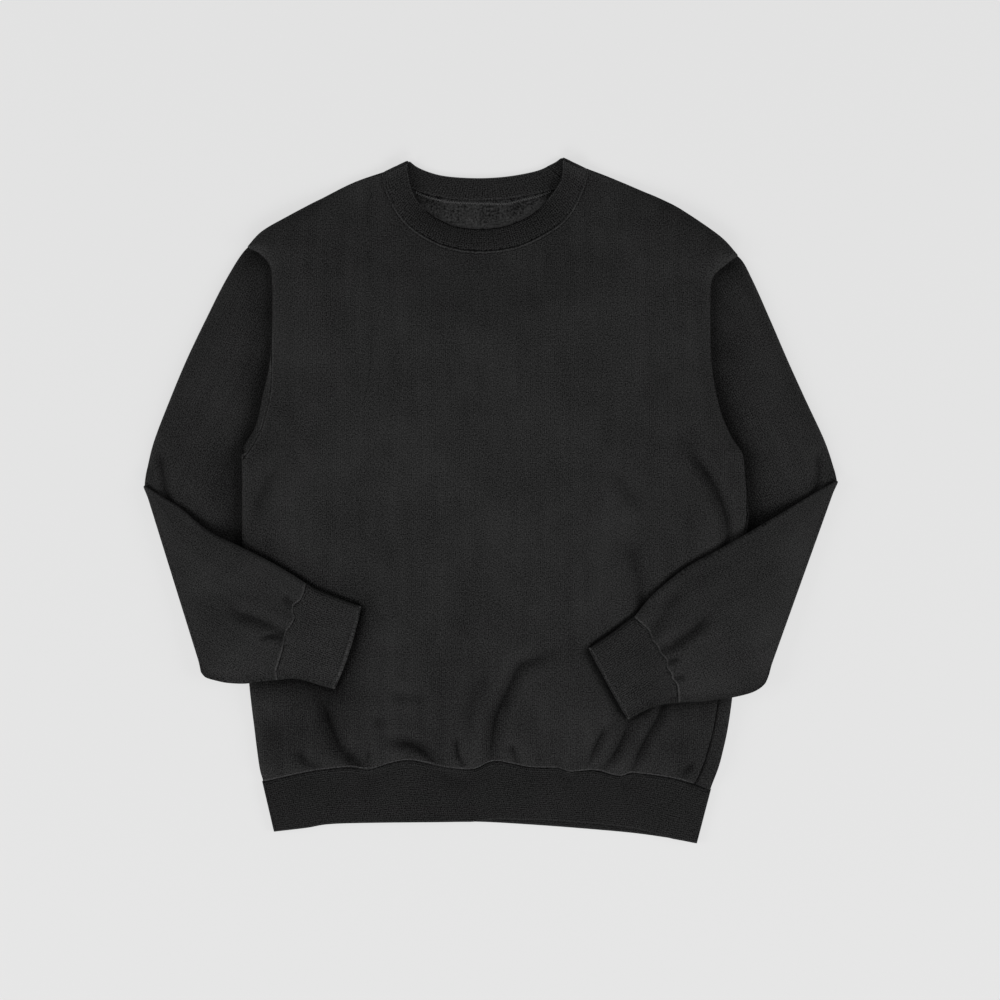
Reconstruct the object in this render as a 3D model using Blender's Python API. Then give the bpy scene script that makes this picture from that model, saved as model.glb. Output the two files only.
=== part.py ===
"""A crewneck sweatshirt, laid flat on its back with each forearm folded over the front.

Metres, +Z up. The cloth rests on z = 0, the origin is under the middle of the whole shape, the neck is at +Y.
All sizes below are millimetres. "left" is -X and "right" is +X, seen from above.
"""

import math

import bpy
import numpy as np
from mathutils.geometry import delaunay_2d_cdt

MM = 0.001

# ---------------------------------------------------------------- driving sizes
FLEECE = 2.0  # wall of the body and the sleeves
RIB = 3.0  # wall of the doubled ribbing
SEAM_GAP = 0.3  # between two pieces at a seam
LAYER_GAP = 1.0  # between layers that lie on each other
TUBE_GAP = 0.6  # inside a flattened tube
BODY_SPLIT = 3.0  # from the back's middle surface to the front's, near a folded edge
BODY_LOFT = 1.0  # how much further apart front and back are in the middle
ROLL = 2.0  # width of the rounded edge of a fold, on the middle surface
LOFT_SHARE = 0.55  # a sleeve's loft ends this share of its width from its outer edge
LIFT_RUN = 80.0  # how far before a layer below it the cloth starts to rise
LIFT_MARGIN = 12.0  # how far before that layer it is all the way up
ELBOW_RUN = 75.0  # how far beside the body the forearm starts to rise
PANEL_STEP = 30.0  # facet size of the panels
SLEEVE_SPANS = 6  # facets across a sleeve
HEM_SPANS = 20  # facets across the hem rib
NECK_SPANS = {1: 20, -1: 14}  # facets along the front and the back of the collar
HEM_SHARES = (0, 0.33, 0.67, 1)  # the hem rib's sections, as shares of its height
UPPER_RINGS, FOREARM_RINGS, TURN_RINGS, CUFF_RINGS = 9, 11, 6, 5  # sections along a sleeve and a cuff
SIDE_POINTS = 23  # facets' ends down one side of a panel
SHOULDER_POINTS = 8  # facets' ends along one shoulder
CURVE_STEPS = 12  # short straights between two rows of a curve's table
FINE_POINTS = 400  # points of a curve that is read at many places
BOW_POWER = 0.6  # below 1 makes a bowed section full at both ends
LOFT_RUN = 60.0  # how far inside its folded edges the body reaches its full loft
SHOULDER_START = 100.0  # the shoulders lie further out than this
MEETING_RUN = 15.0  # how fast front and back close on each other beside the sleeve head
FAR_OUT = 500.0  # past the whole garment
HALF_WIDTH, NECK_Y, PANEL_HEIGHT = 300.0, 360.0, 720.0  # the field that holds the panels' facet corners
CENTRING = (0.29, -0.14, 0.0)  # brings the middle of the outline to the origin

# ---------------------------------------------------------------- levels, worked out
SLEEVE_HALF = FLEECE + TUBE_GAP / 2
RIB_HALF = RIB + TUBE_GAP / 2
SLEEVE_THICK = 2 * SLEEVE_HALF
BACK_LOW = FLEECE / 2
BACK_HIGH = SLEEVE_THICK + LAYER_GAP + FLEECE / 2
FRONT_ON_SLEEVE = SLEEVE_THICK + LAYER_GAP + FLEECE / 2
ELBOW_RADIUS = (SLEEVE_THICK + LAYER_GAP) / 2

# ---------------------------------------------------------------- outlines, columns x and y
SHOULDER_LEFT = ((-113, 353.5), (-146, 342), (-180, 325), (-214, 307), (-244, 289.5), (-260.5, 272))
SHOULDER_RIGHT = ((103.5, 356.5), (126, 348), (157, 335), (187, 322), (210, 309), (246, 283.5), (265, 263))

# The edge of the front: its fold over the sleeve, the armpit, then the side of the body down to the hem seam.
SIDE_LEFT = (
    (-260.5, 272), (-247.5, 265.5), (-237, 253.5), (-234, 236), (-234, 183), (-237, 145), (-244.5, 110),
    (-251, 81), (-260.5, 64), (-266, 52), (-266, 30), (-265.5, -50), (-262.5, -117), (-258.5, -194),
    (-249, -277), (-244, -299.5),
)  # fmt: skip
SIDE_RIGHT = (
    (265, 263), (251, 252.5), (239, 241), (236, 223.5), (236, 172), (238, 136), (245.5, 98.5),
    (255, 74), (263, 60), (270, 49), (273, 20), (276, -15), (275, -32), (259, -209),
    (248, -273), (236, -308),
)  # fmt: skip
ARMPIT = {-1: (-265, 46), 1: (270.5, 47)}
# The body is twisted: its side seams sit this far round from the folded edges. Columns y and distance.
TWIST = ((49, 0), (20, 0.6), (-20, 2.5), (-210, 14), (-309, 19))

HEM_SEAM = (
    (-243.5, -300.5), (-222, -295.5), (-194, -289.5), (-157, -285), (-131, -287), (-105, -279.5), (-83, -277.5),
    (-53, -284), (-21, -287), (-3, -280), (11, -278.5), (41, -284.5), (71, -285.5), (87, -289.5), (111, -288),
    (137.5, -294), (153.5, -291), (197, -297), (235, -309),
)  # fmt: skip
HEM_EDGE = (
    (-231, -354), (-197, -350), (-163, -345.5), (-60, -344), (-9, -344), (59, -348), (128, -353.5),
    (162, -357), (196, -362), (220, -366.5),
)  # fmt: skip
HEM_SHORT = ((-20, 0), (10, 4), (60, 6), (120, 6.5), (160, 5), (195, 0))  # front hem: x, how much shorter

# The neck: seams and inner edges of the collar, front and back, from left to right.
NECK_SEAM_FRONT = (
    (-114, 353), (-113, 341), (-108, 327), (-99.5, 310), (-87.5, 295), (-72, 283), (-53.5, 273.5), (-33, 268),
    (-11, 266), (11.5, 267.5), (34, 273), (56, 284), (75, 297), (87, 312), (95.5, 329), (101, 345), (103.5, 356),
)  # fmt: skip
NECK_EDGE_FRONT = (
    (-90, 364), (-89.5, 350), (-82, 327.5), (-74, 316.5), (-64, 307), (-52, 300), (-38, 294), (-19.5, 291.5),
    (-2, 291.5), (18, 295), (35.5, 302), (49, 310.5), (59.5, 321), (70, 334.5), (77, 348), (79, 367.5),
)  # fmt: skip
NECK_SEAM_BACK = (
    (-114, 353), (-102, 342.5), (-84, 335), (-69, 330), (-52, 326), (-33, 323.5), (-9, 323), (16.5, 324),
    (42, 328.5), (68, 334.5), (90.5, 344.5), (103.5, 356),
)  # fmt: skip
NECK_EDGE_BACK = (
    (-90, 364), (-72, 354.5), (-52, 348.5), (-26, 346), (-0.5, 346), (25, 348.5), (51, 354), (66, 361),
    (79, 367.5),
)  # fmt: skip

# Each sleeve in sections from the armhole to the elbow: outer edge x y, under edge x y, bow of the section towards
# the body, and loft of the upper layer.
UPPER_SLEEVE = {
    -1: (
        (-243, 280, -228, 100, 16, 0.0), (-262, 269, -226, 80, 16, 0.0), (-283, 236.5, -221, 40, 10, 0.0),
        (-304.5, 194, -215, -5, 5, 0.8), (-325, 151, -213, -55, 0, 1.2), (-343, 108, -222, -105, 0, 1.0),
        (-359.5, 65, -247, -147, 0, 0.6), (-367, 36, -281, -175, 0, 0.0),
    ),
    1: (
        (247, 270, 231, 100, 16, 0.0), (266.5, 260, 229, 78, 16, 0.0), (280, 236.5, 224, 38, 10, 0.0),
        (299, 194, 217, -10, 5, 0.8), (317.5, 151, 211, -60, 0, 1.2), (337, 108, 216, -107, 0, 1.0),
        (357, 65, 238, -147, 0, 0.6), (367, 36, 268, -180, 0, 0.0),
    ),
}  # fmt: skip
ELBOW_CREASE = {-1: ((-371, 14.5), (-308.5, -184)), 1: ((370.5, 20), (296, -188))}
# The forearm, from the elbow to the cuff seam: the same columns, upper edge first.
FOREARM = {
    -1: (
        (-351, 3, -297, -191, 0, 0.0), (-332, -8.5, -290, -192.5, 0, 0.2), (-302, -32.5, -279, -193.5, 0, 0.4),
        (-266, -50, -262, -194, 0, 0.6), (-234, -66, -247, -192, -2, 1.0), (-213.5, -78, -238, -191, -4, 1.6),
        (-196, -89, -227, -190, -6, 1.8),
    ),
    1: (
        (351, 10, 286.5, -200.5, 0, 0.0), (322.5, -7, 280, -203, 0, 0.2), (273, -36, 262, -208, 0, 0.6),
        (240, -54.5, 244, -211, -2, 0.6), (207, -73, 230, -213, -4, 1.0), (174, -100.5, 214, -214, -5, 1.6),
        (154, -124.5, 200.5, -214.5, -5, 1.8),
    ),
}  # fmt: skip
CUFF = {
    -1: (
        (-196, -89, -227, -190, -6, 0.0), (-188, -94.5, -212, -188.5, -5, 0.3), (-174, -100.5, -200, -190, -2, 0.3),
        (-157, -107, -184, -195, 1, 0.3), (-140.5, -113, -168, -199.5, 3, 0.0),
    ),
    1: (
        (154, -124.5, 200.5, -214.5, -5, 0.0), (143, -132, 189, -215.5, -3, 0.3), (131, -141.5, 176, -218, -1, 0.3),
        (119, -149.5, 162, -224, 0, 0.3), (107, -157.5, 148, -232, 1, 0.0),
    ),
}  # fmt: skip

COLOURS = {  # sRGB grey of each cloth
    "fleece": 0.142,
    "rib": 0.125,
}


# ---------------------------------------------------------------- plane curves
def smooth_curve(points, count, columns=2):
    """`count` points, even along a Catmull-Rom curve through the rows of a table."""
    rows = np.array(points, float)
    ends = np.vstack([2 * rows[0] - rows[1], rows, 2 * rows[-1] - rows[-2]])
    t = np.linspace(0, 1, CURVE_STEPS, endpoint=False)[:, None]
    parts = []
    for a, b, c, d in zip(ends, ends[1:], ends[2:], ends[3:]):
        parts.append(b + 0.5 * t * (c - a + t * (2 * a - 5 * b + 4 * c - d + t * (3 * (b - c) + d - a))))
    fine = np.vstack([*parts, rows[-1:]])
    length = np.concatenate([[0], np.cumsum(np.linalg.norm(np.diff(fine[:, :columns], axis=0), axis=1))])
    at = np.linspace(0, length[-1], count)
    return np.stack([np.interp(at, length, column) for column in fine.T], axis=1)


def column_at(points, known, key=0):
    """The other coordinate of a curve at the known values of coordinate `key`."""
    fine = smooth_curve(points, FINE_POINTS)
    order = np.argsort(fine[:, key])
    return np.interp(known, fine[order, key], fine[order, 1 - key])


def smoothstep(x):
    x = np.clip(x, 0, 1)
    return x * x * (3 - 2 * x)


def smooth_max(a, b, softness=0.4):
    return 0.5 * (a + b + np.sqrt((a - b) ** 2 + softness**2))


def signed_distance(points, polygon):
    """Distance of each point to a closed polygon, positive inside."""
    start, end = polygon, np.roll(polygon, -1, axis=0)
    nearest = np.full(len(points), np.inf)
    inside = np.zeros(len(points), bool)
    for (ax, ay), (bx, by) in zip(start, end):
        run = np.array([bx - ax, by - ay])
        share = np.clip(((points - (ax, ay)) @ run) / max(run @ run, 1e-9), 0, 1)
        away = points - (ax, ay) - share[:, None] * run
        nearest = np.minimum(nearest, (away**2).sum(axis=1))
        crosses = (ay > points[:, 1]) != (by > points[:, 1])
        height = by - ay if by != ay else 1e-9
        inside ^= crosses & (points[:, 0] < ax + (points[:, 1] - ay) / height * (bx - ax))
    return np.where(inside, 1, -1) * np.sqrt(nearest)


# ---------------------------------------------------------------- where each layer lies
def side_x(side, y):
    """The middle surface's outermost x on one side of the front, at the heights y."""
    table = SIDE_LEFT if side < 0 else SIDE_RIGHT
    return column_at(table, y, key=1) - side * FLEECE / 2


def twist_at(y):
    heights, distances = zip(*reversed(TWIST))
    return np.interp(y, heights, distances)


def armhole_x(side, y):
    """The back's armhole seam: the sleeve's first section, then straight to the armpit."""
    head_x, head_y, under_x, under_y, bow, _ = UPPER_SLEEVE[side][0]
    share = np.clip((head_y - y) / (head_y - under_y), 0, 1)
    pit_x, pit_y = ARMPIT[side]
    below = np.clip((under_y - y) / (under_y - pit_y), 0, 1)
    bowed = side * bow * np.sin(math.pi * share) ** BOW_POWER
    return head_x + share * (under_x - head_x) - bowed + below * (pit_x - under_x)


def shoulder_y(side, x):
    table = SHOULDER_LEFT if side < 0 else SHOULDER_RIGHT
    return column_at(table, x, key=0) - FLEECE / 2


def elbow_axis(side):
    """The line that the neutral surface turns round, just inside the visible crease, and the way out from it."""
    top, bottom = (np.array(end, float) for end in ELBOW_CREASE[side])
    along = (bottom - top) / np.linalg.norm(bottom - top)
    out = np.array([along[1], -along[0]]) * (1 if side < 0 else -1)
    shift = out * (ELBOW_RADIUS + SLEEVE_HALF)
    return top - shift, bottom - shift, out


def sleeve_footprint(side):
    """The outline of the upper sleeve on the floor."""
    rows = np.array(UPPER_SLEEVE[side], float)
    top, bottom = ELBOW_CREASE[side]
    end_y = np.linspace(rows[0, 1], rows[0, 3], 10)
    armhole = np.column_stack([armhole_x(side, end_y), end_y])
    outer, under = smooth_curve(rows[:, :2], 10), smooth_curve(rows[:, 2:4], 14)
    return np.vstack([armhole, under[1:], [bottom], [top], outer[::-1]])


def under_body(side):
    """The part of the sleeve that the back lies on, closed far outside it."""
    rows = np.array(UPPER_SLEEVE[side], float)
    bottom = ELBOW_CREASE[side][1]
    far = side * FAR_OUT
    return np.vstack([smooth_curve(rows[:, 2:4], 14), [bottom], [(far, bottom[1])], [(far, rows[0, 3])]])


FOOTPRINTS = {side: sleeve_footprint(side) for side in (-1, 1)}
UNDER_BODY = {side: under_body(side) for side in (-1, 1)}


def ramp(points, polygons):
    """0 far from the polygons, 1 on them and close to them."""
    nearest = np.maximum(*(signed_distance(points, polygons[side]) for side in (-1, 1)))
    return smoothstep((nearest + LIFT_RUN) / (LIFT_RUN - LIFT_MARGIN))


def back_height(points):
    return BACK_LOW + (BACK_HIGH - BACK_LOW) * ramp(points, UNDER_BODY)


def edge_depth(points):
    """How far inside the body's folded edges each point is: its sides and its shoulders."""
    x, y = points.T
    depth = np.minimum(x - side_x(-1, y), side_x(1, y) - x)
    for side in (-1, 1):
        depth = np.minimum(depth, np.where(side * x > SHOULDER_START, shoulder_y(side, x) - y, np.inf))
    return depth


def front_height(points):
    apart = BODY_SPLIT + BODY_LOFT * smoothstep(edge_depth(points) / LOFT_RUN)
    low = BACK_LOW + BODY_SPLIT
    on_sleeve = low + (FRONT_ON_SLEEVE - low) * ramp(points, FOOTPRINTS)
    return smooth_max(back_height(points) + apart, on_sleeve)


def under_forearm(points):
    """The top of whatever the forearm and the cuff lie on."""
    x, y = points.T
    side = np.where(x < 0, -1, 1)
    edge = np.where(x < 0, side_x(-1, y), side_x(1, y))
    beyond = np.maximum(side * (x - edge), 0)
    inside = np.stack([np.where(beyond > 0, edge, x), y], axis=1)
    on_body = front_height(inside) + FLEECE / 2
    share = smoothstep(1 - beyond / ELBOW_RUN)
    return SLEEVE_THICK + share * (on_body - SLEEVE_THICK)


# ---------------------------------------------------------------- meshes
def material(cloth):
    made = bpy.data.materials.get(cloth)
    if made is None:
        made = bpy.data.materials.new(cloth)
        made.use_nodes = True
        surface = made.node_tree.nodes["Principled BSDF"]
        linear = ((COLOURS[cloth] + 0.055) / 1.055) ** 2.4
        surface.inputs["Base Color"].default_value = (linear, linear, linear, 1)
        surface.inputs["Roughness"].default_value = 0.95
        surface.inputs["Metallic"].default_value = 0
    return made


def add_object(name, cloth, points, faces):
    mesh = bpy.data.meshes.new(name)
    mesh.from_pydata([tuple(point) for point in (points + np.array(CENTRING)) * MM], [], faces)
    mesh.validate()
    mesh.shade_smooth()
    mesh.set_sharp_from_angle(angle=math.radians(50))
    mesh.materials.append(material(cloth))
    obj = bpy.data.objects.new(name, mesh)
    bpy.context.scene.collection.objects.link(obj)
    return obj


def ring_faces(start, size, rings, closed=False):
    """Quads between rings of `size` points each, stored one after another."""
    faces = []
    for ring in range(rings if closed else rings - 1):
        here, there = start + ring * size, start + (ring + 1) % rings * size
        for k in range(size):
            after = (k + 1) % size
            faces.append((here + k, there + k, there + after, here + after))
    return faces


def tube_columns(width, wall, spans):
    """Places across a flattened tube: edge distances of its outer and of its inner surface."""
    rim = wall + TUBE_GAP / 2
    middle = np.linspace(rim, width - rim, spans + 1)
    rounded, rounded_inside = 0.3 * rim, wall + 0.3 * (rim - wall)
    outer = [0, rounded, *middle, width - rounded, width]
    inner = [wall, rounded_inside, *middle, width - rounded_inside, width - wall]
    return np.array(outer), np.array(inner)


def half_height(distance, width, radius):
    """Half the thickness of a flattened tube with rounded edges, at a distance from its edge."""
    depth = np.minimum(distance, width - distance)
    return radius * np.sqrt(np.clip(1 - (1 - np.clip(depth / radius, 0, 1)) ** 2, 0, 1))


def tube_object(name, cloth, sections, wall, spans=SLEEVE_SPANS):
    """A flattened open tube. Each section is its width and a function that places points, given their distances
    from its first edge and their signed distances from the middle of its thickness."""
    rings = {"outer": [], "inner": []}
    for place, width in sections:
        for surface, columns, start in zip(rings, tube_columns(width, wall, spans), (0, wall)):
            half = half_height(columns - start, width - 2 * start, wall + TUBE_GAP / 2 - start)
            rings[surface].append(np.vstack([place(columns, half), place(columns[1:-1], -half[1:-1])[::-1]]))
    size, count = len(rings["outer"][0]), len(sections)
    inner_start = size * count
    faces = ring_faces(0, size, count)
    faces += [face[::-1] for face in ring_faces(inner_start, size, count)]
    for first, flip in ((0, True), (size * (count - 1), False)):
        for k in range(size):
            here, after = first + k, first + (k + 1) % size
            face = (here, inner_start + here, inner_start + after, after)
            faces.append(face[::-1] if flip else face)
    obj = add_object(name, cloth, np.vstack(rings["outer"] + rings["inner"]), faces)
    turn_outwards(obj)
    return obj


def turn_outwards(obj):
    """Gives every face of a closed mesh the outward side."""
    obj.data.calc_loop_triangles()
    points = np.array([vertex.co for vertex in obj.data.vertices])
    corners = points[np.array([triangle.vertices for triangle in obj.data.loop_triangles])]
    if np.linalg.det(corners).sum() < 0:
        obj.data.flip_normals()


# ---------------------------------------------------------------- sleeves and cuffs
def across(row, columns, side):
    """Plan points of one section, from its first edge to its second, bowed towards the body."""
    first, second = row[0:2], row[2:4]
    share = columns / np.linalg.norm(second - first)
    plan = first + share[:, None] * (second - first)
    plan[:, 0] -= side * row[4] * np.sin(math.pi * np.clip(share, 0, 1)) ** BOW_POWER
    return plan


def flat_section(row, side, level, sign=1):
    """A section that lies level. `sign` -1 swaps its layers, as where the sleeve is still face down."""
    width = np.linalg.norm(row[2:4] - row[0:2])

    def place(columns, half):
        plan = across(row, columns, side)
        loft = np.where(sign * half > 0, row[5], 0) * np.sin(math.pi * np.clip(columns / width / LOFT_SHARE, 0, 1))
        return np.column_stack([plan, level(plan) + sign * half + loft])

    return place, width


def turn_section(side, angle):
    """A section round the elbow, at an angle from 0 on the floor to pi on top."""
    top, bottom, out = elbow_axis(side)
    width = np.linalg.norm(bottom - top)

    def place(columns, half):
        plan = top + (columns / width)[:, None] * (bottom - top)
        radius = ELBOW_RADIUS + half
        plan = plan + (radius * math.sin(angle))[:, None] * out
        return np.column_stack([plan, SLEEVE_HALF + ELBOW_RADIUS - radius * math.cos(angle)])

    return place, width


def shifted(rows, index, towards, distance):
    """Moves one row a short way towards another, for the gap at a seam."""
    rows = [np.array(row, float) for row in rows]
    move = rows[towards][:4] - rows[index][:4]
    for ends in (slice(0, 2), slice(2, 4)):
        rows[index][ends] += move[ends] / np.linalg.norm(move[ends]) * distance
    return rows


def make_sleeve(side, name):
    top, bottom, _ = elbow_axis(side)
    axis_row = (*top, *bottom, 0, 0)
    upper = smooth_curve([*UPPER_SLEEVE[side], axis_row], UPPER_RINGS, columns=4)
    fore_rows = shifted(FOREARM[side], -1, -2, SEAM_GAP / 2)
    fore = smooth_curve([axis_row, *fore_rows], FOREARM_RINGS, columns=4)

    def floor_level(plan):
        return np.full(len(plan), SLEEVE_HALF)

    def forearm_level(plan):
        return under_forearm(plan) + LAYER_GAP + SLEEVE_HALF

    sections = [flat_section(row, side, floor_level, sign=-1) for row in upper[:-1]]
    sections += [turn_section(side, angle) for angle in np.linspace(0, math.pi, TURN_RINGS)]
    sections += [flat_section(row, side, forearm_level) for row in fore[1:]]
    return tube_object(name, "fleece", sections, FLEECE)


def make_cuff(side, name):
    rows = smooth_curve(shifted(CUFF[side], 0, 1, SEAM_GAP / 2), CUFF_RINGS, columns=4)

    def level(plan):
        return under_forearm(plan) + LAYER_GAP + RIB_HALF

    return tube_object(name, "rib", [flat_section(row, side, level) for row in rows], RIB)


# ---------------------------------------------------------------- hem
def hem_line(share):
    """The hem rib's section at a share of its height, from the seam (0) to the edge (1), and its length."""
    line = smooth_curve(HEM_SEAM, 200) * (1 - share) + smooth_curve(HEM_EDGE, 200) * share
    length = np.concatenate([[0], np.cumsum(np.linalg.norm(np.diff(line, axis=0), axis=1))])

    def at(columns):
        return np.column_stack([np.interp(columns, length, line[:, k]) for k in (0, 1)])

    return at, length[-1]


def make_hem():
    """The hem rib: its sections run from side to side."""
    xs, shorts = zip(*HEM_SHORT)

    def section(share):
        at, width = hem_line(share)

        def place(columns, half):
            plan = at(columns)
            plan[:, 1] -= SEAM_GAP / 2 * (1 - share)
            plan[:, 1] += np.where(half > 0, np.interp(plan[:, 0], xs, shorts), 0) * share
            return np.column_stack([plan, RIB_HALF + half])

        return place, width

    return tube_object("hem_rib", "rib", [section(share) for share in HEM_SHARES], RIB, spans=HEM_SPANS)


# ---------------------------------------------------------------- collar
def collar_fold(end):
    """Where the collar turns from its front to its back: the turned section's seam and edge, its way out, and the
    levels of the back and the front. `end` is 0 at the left and -1 at the right."""
    low, high = RIB / 2, BACK_LOW + BODY_SPLIT + BODY_LOFT - FLEECE / 2 + RIB / 2
    seam, edge = np.array(NECK_SEAM_FRONT[end], float), np.array(NECK_EDGE_FRONT[end], float)
    along = (edge - seam) / np.linalg.norm(edge - seam)
    out = np.array([-along[1], along[0]]) * (1 if end == 0 else -1)
    inward = out * ((high - low) / 2 + RIB / 2)
    return seam - inward, edge - inward, out, low, high


def make_collar():
    low, high = collar_fold(0)[3:]
    radius = (high - low) / 2
    front = [smooth_curve(table, NECK_SPANS[1] + 1) for table in (NECK_SEAM_FRONT, NECK_EDGE_FRONT)]
    back = [smooth_curve(table, NECK_SPANS[-1] + 1) for table in (NECK_SEAM_BACK, NECK_EDGE_BACK)]
    thickness = RIB / 2
    # A section's points: share of the way from seam to edge, and side of the middle surface.
    profile = [(0, 1), (0.35, 1), (0.7, 1), (1, 1), (1, -1), (0.7, -1), (0.35, -1), (0, -1)]
    edge_inset, edge_half = 0.6 * thickness, 0.75 * thickness  # where the edge starts to round, and its half height

    def loop(seam, edge, height, normal):
        along = edge - seam
        width = np.linalg.norm(along)
        along = along / width
        ring = []
        for share, sign in profile:
            at_edge = share == 1
            reach = SEAM_GAP / 2 + share * (width - SEAM_GAP / 2 - (edge_inset if at_edge else 0))
            base = np.array([*(seam + along * reach), height])
            ring.append(base + sign * normal * (edge_half if at_edge else thickness))
            if at_edge and sign == 1:
                ring.append(np.array([*edge, height]))
        return ring

    def turn(end, angles):
        seam, edge, out, *_ = collar_fold(end)
        rings = []
        for angle in angles:
            normal = np.array([0, 0, math.cos(angle)]) + np.array([*out, 0]) * math.sin(angle)
            shift = out * radius * math.sin(angle)
            rings.append(loop(seam + shift, edge + shift, low + radius + radius * math.cos(angle), normal))
        return rings

    up, down = np.array([0, 0, 1.0]), np.array([0, 0, -1.0])
    rings = turn(0, (math.pi * 0.5, math.pi * 0.25, 0))
    rings += [loop(seam, edge, high, up) for seam, edge in list(zip(*front))[1:-1]]
    rings += turn(-1, np.linspace(0, math.pi, 5))
    rings += [loop(seam, edge, low, down) for seam, edge in list(zip(*back))[-2:0:-1]]
    rings += turn(0, (math.pi, math.pi * 0.75))
    size = len(rings[0])
    obj = add_object("neck_rib", "rib", np.vstack(rings), ring_faces(0, size, len(rings), closed=True))
    turn_outwards(obj)
    return obj


# ---------------------------------------------------------------- front and back
def roll_share(distance):
    """How far a folded edge has rolled at a distance from its fold line: plan inset and share of the full height."""
    turn = np.clip(np.abs(distance) / ROLL, 0, 1) * math.pi / 2
    inset = np.where(np.abs(distance) < ROLL, ROLL * (1 - np.cos(turn)), np.abs(distance))
    return inset, np.sin(turn)


def fold_line(layer, side, heights):
    """The x of a panel's folded edge. Above the armpit the back has none, because it is cut at the armhole seam."""
    fold = side_x(side, heights)
    return np.where((layer < 0) & (heights > ARMPIT[side][1]), np.nan, fold)


def cut_edge(layer, side, heights):
    """The x of a panel's cut edge, where x runs on round the folded edge at the same scale."""
    beside_seam = side_x(side, heights) - layer * twist_at(heights) - side * SEAM_GAP / 2
    if layer > 0:
        return beside_seam
    armhole = armhole_x(side, heights) - side * 1.8 * SEAM_GAP
    return np.where(heights > ARMPIT[side][1], armhole, beside_seam)


def neck_cut(layer):
    """A panel's neckline: the collar's seam, moved the seam gap away from the collar, and clear of its folded ends."""
    line = smooth_curve(NECK_SEAM_FRONT if layer > 0 else NECK_SEAM_BACK, NECK_SPANS[layer] + 1)
    along = np.gradient(line, axis=0)
    outward = np.column_stack([along[:, 1], -along[:, 0]]) / np.linalg.norm(along, axis=1, keepdims=True)
    line = line + outward * SEAM_GAP / 2
    ends = []
    for end, side in ((0, -1), (-1, 1)):
        seam, edge, out, *_ = collar_fold(end)
        away = (seam - edge) / np.linalg.norm(seam - edge) * SEAM_GAP
        tip = np.array([line[end, 0] + side * SEAM_GAP, shoulder_y(side, line[end, 0]) - 2 * SEAM_GAP])
        ends.append([tip, seam + away])
    return np.vstack([ends[0], line[1:-1], ends[1][::-1]])


def hem_height(x):
    """The y of the hem seam, where x runs on round the folded edges."""
    left, right = HEM_SEAM[0][0], HEM_SEAM[-1][0]
    x = np.where(x < left, 2 * left - x, np.where(x > right, 2 * right - x, x))
    return column_at(HEM_SEAM, x)


def side_heights(layer, side):
    """The heights of the outline's points down one side, which match the sleeve's facets at the armhole."""
    clear_of_pit, clear_of_hem = 6.0, 6.0
    fold = smooth_curve(SIDE_LEFT if side < 0 else SIDE_RIGHT, SIDE_POINTS)[:, 1]
    if layer < 0:
        head_x, head_y, under_x, under_y = UPPER_SLEEVE[side][0][:4]
        pit_y = ARMPIT[side][1]
        width = math.dist((head_x, head_y), (under_x, under_y))
        columns = tube_columns(width, FLEECE, SLEEVE_SPANS)[0]
        beside_sleeve = head_y + columns / width * (under_y - head_y)
        at_pit = [0.5 * (under_y + pit_y), pit_y + 2]
        fold = np.concatenate([beside_sleeve, at_pit, fold[fold < pit_y - clear_of_pit]])
    else:
        fold[0] -= 1
    lowest = hem_height(cut_edge(layer, side, fold[-1:]))
    return np.concatenate([fold[fold > lowest + clear_of_hem], lowest])


def panel_outline(layer):
    """The outline of a panel, clockwise from the left end of the neckline, and the rows along its rolled edges."""
    neck = neck_cut(layer)
    rolled = []
    shoulders, sides = {}, {}
    for side, end in ((-1, 0), (1, -1)):
        heights = side_heights(layer, side)
        cut = cut_edge(layer, side, heights)
        sides[side] = np.column_stack([cut, heights])
        xs = np.linspace(neck[end, 0], cut[0], SHOULDER_POINTS)[1 : (SHOULDER_POINTS if layer < 0 else -1)]
        shoulders[side] = np.column_stack([xs, shoulder_y(side, xs) - SEAM_GAP])
        for inset in (0.4 * ROLL, ROLL):
            rolled.append(np.column_stack([xs, shoulder_y(side, xs) - inset]))
        fold = fold_line(layer, side, heights)
        for inset in (-ROLL, -0.5 * ROLL, 0, 0.5 * ROLL, ROLL):
            row = np.column_stack([fold - side * inset, heights])
            inside = side * (cut - row[:, 0]) > SEAM_GAP
            rolled.append(row[inside & ~np.isnan(fold)][1:-1])
    hem_y = [hem_height(sides[side][-1:, 0])[0] + 2 * SEAM_GAP for side in (-1, 1)]
    at, width = hem_line(0)
    hem = at(tube_columns(width, RIB, HEM_SPANS)[0])
    hem = hem[(hem[:, 0] > sides[-1][-1, 0] + RIB) & (hem[:, 0] < sides[1][-1, 0] - RIB)][::-1]
    hem[:, 1] += SEAM_GAP
    for side, lowest in zip((-1, 1), hem_y):
        sides[side][-1, 1] = lowest
    outline = [neck, shoulders[1], sides[1], hem, sides[-1][::-1], shoulders[-1][::-1]]
    return np.vstack(outline), np.vstack(rolled)


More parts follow.
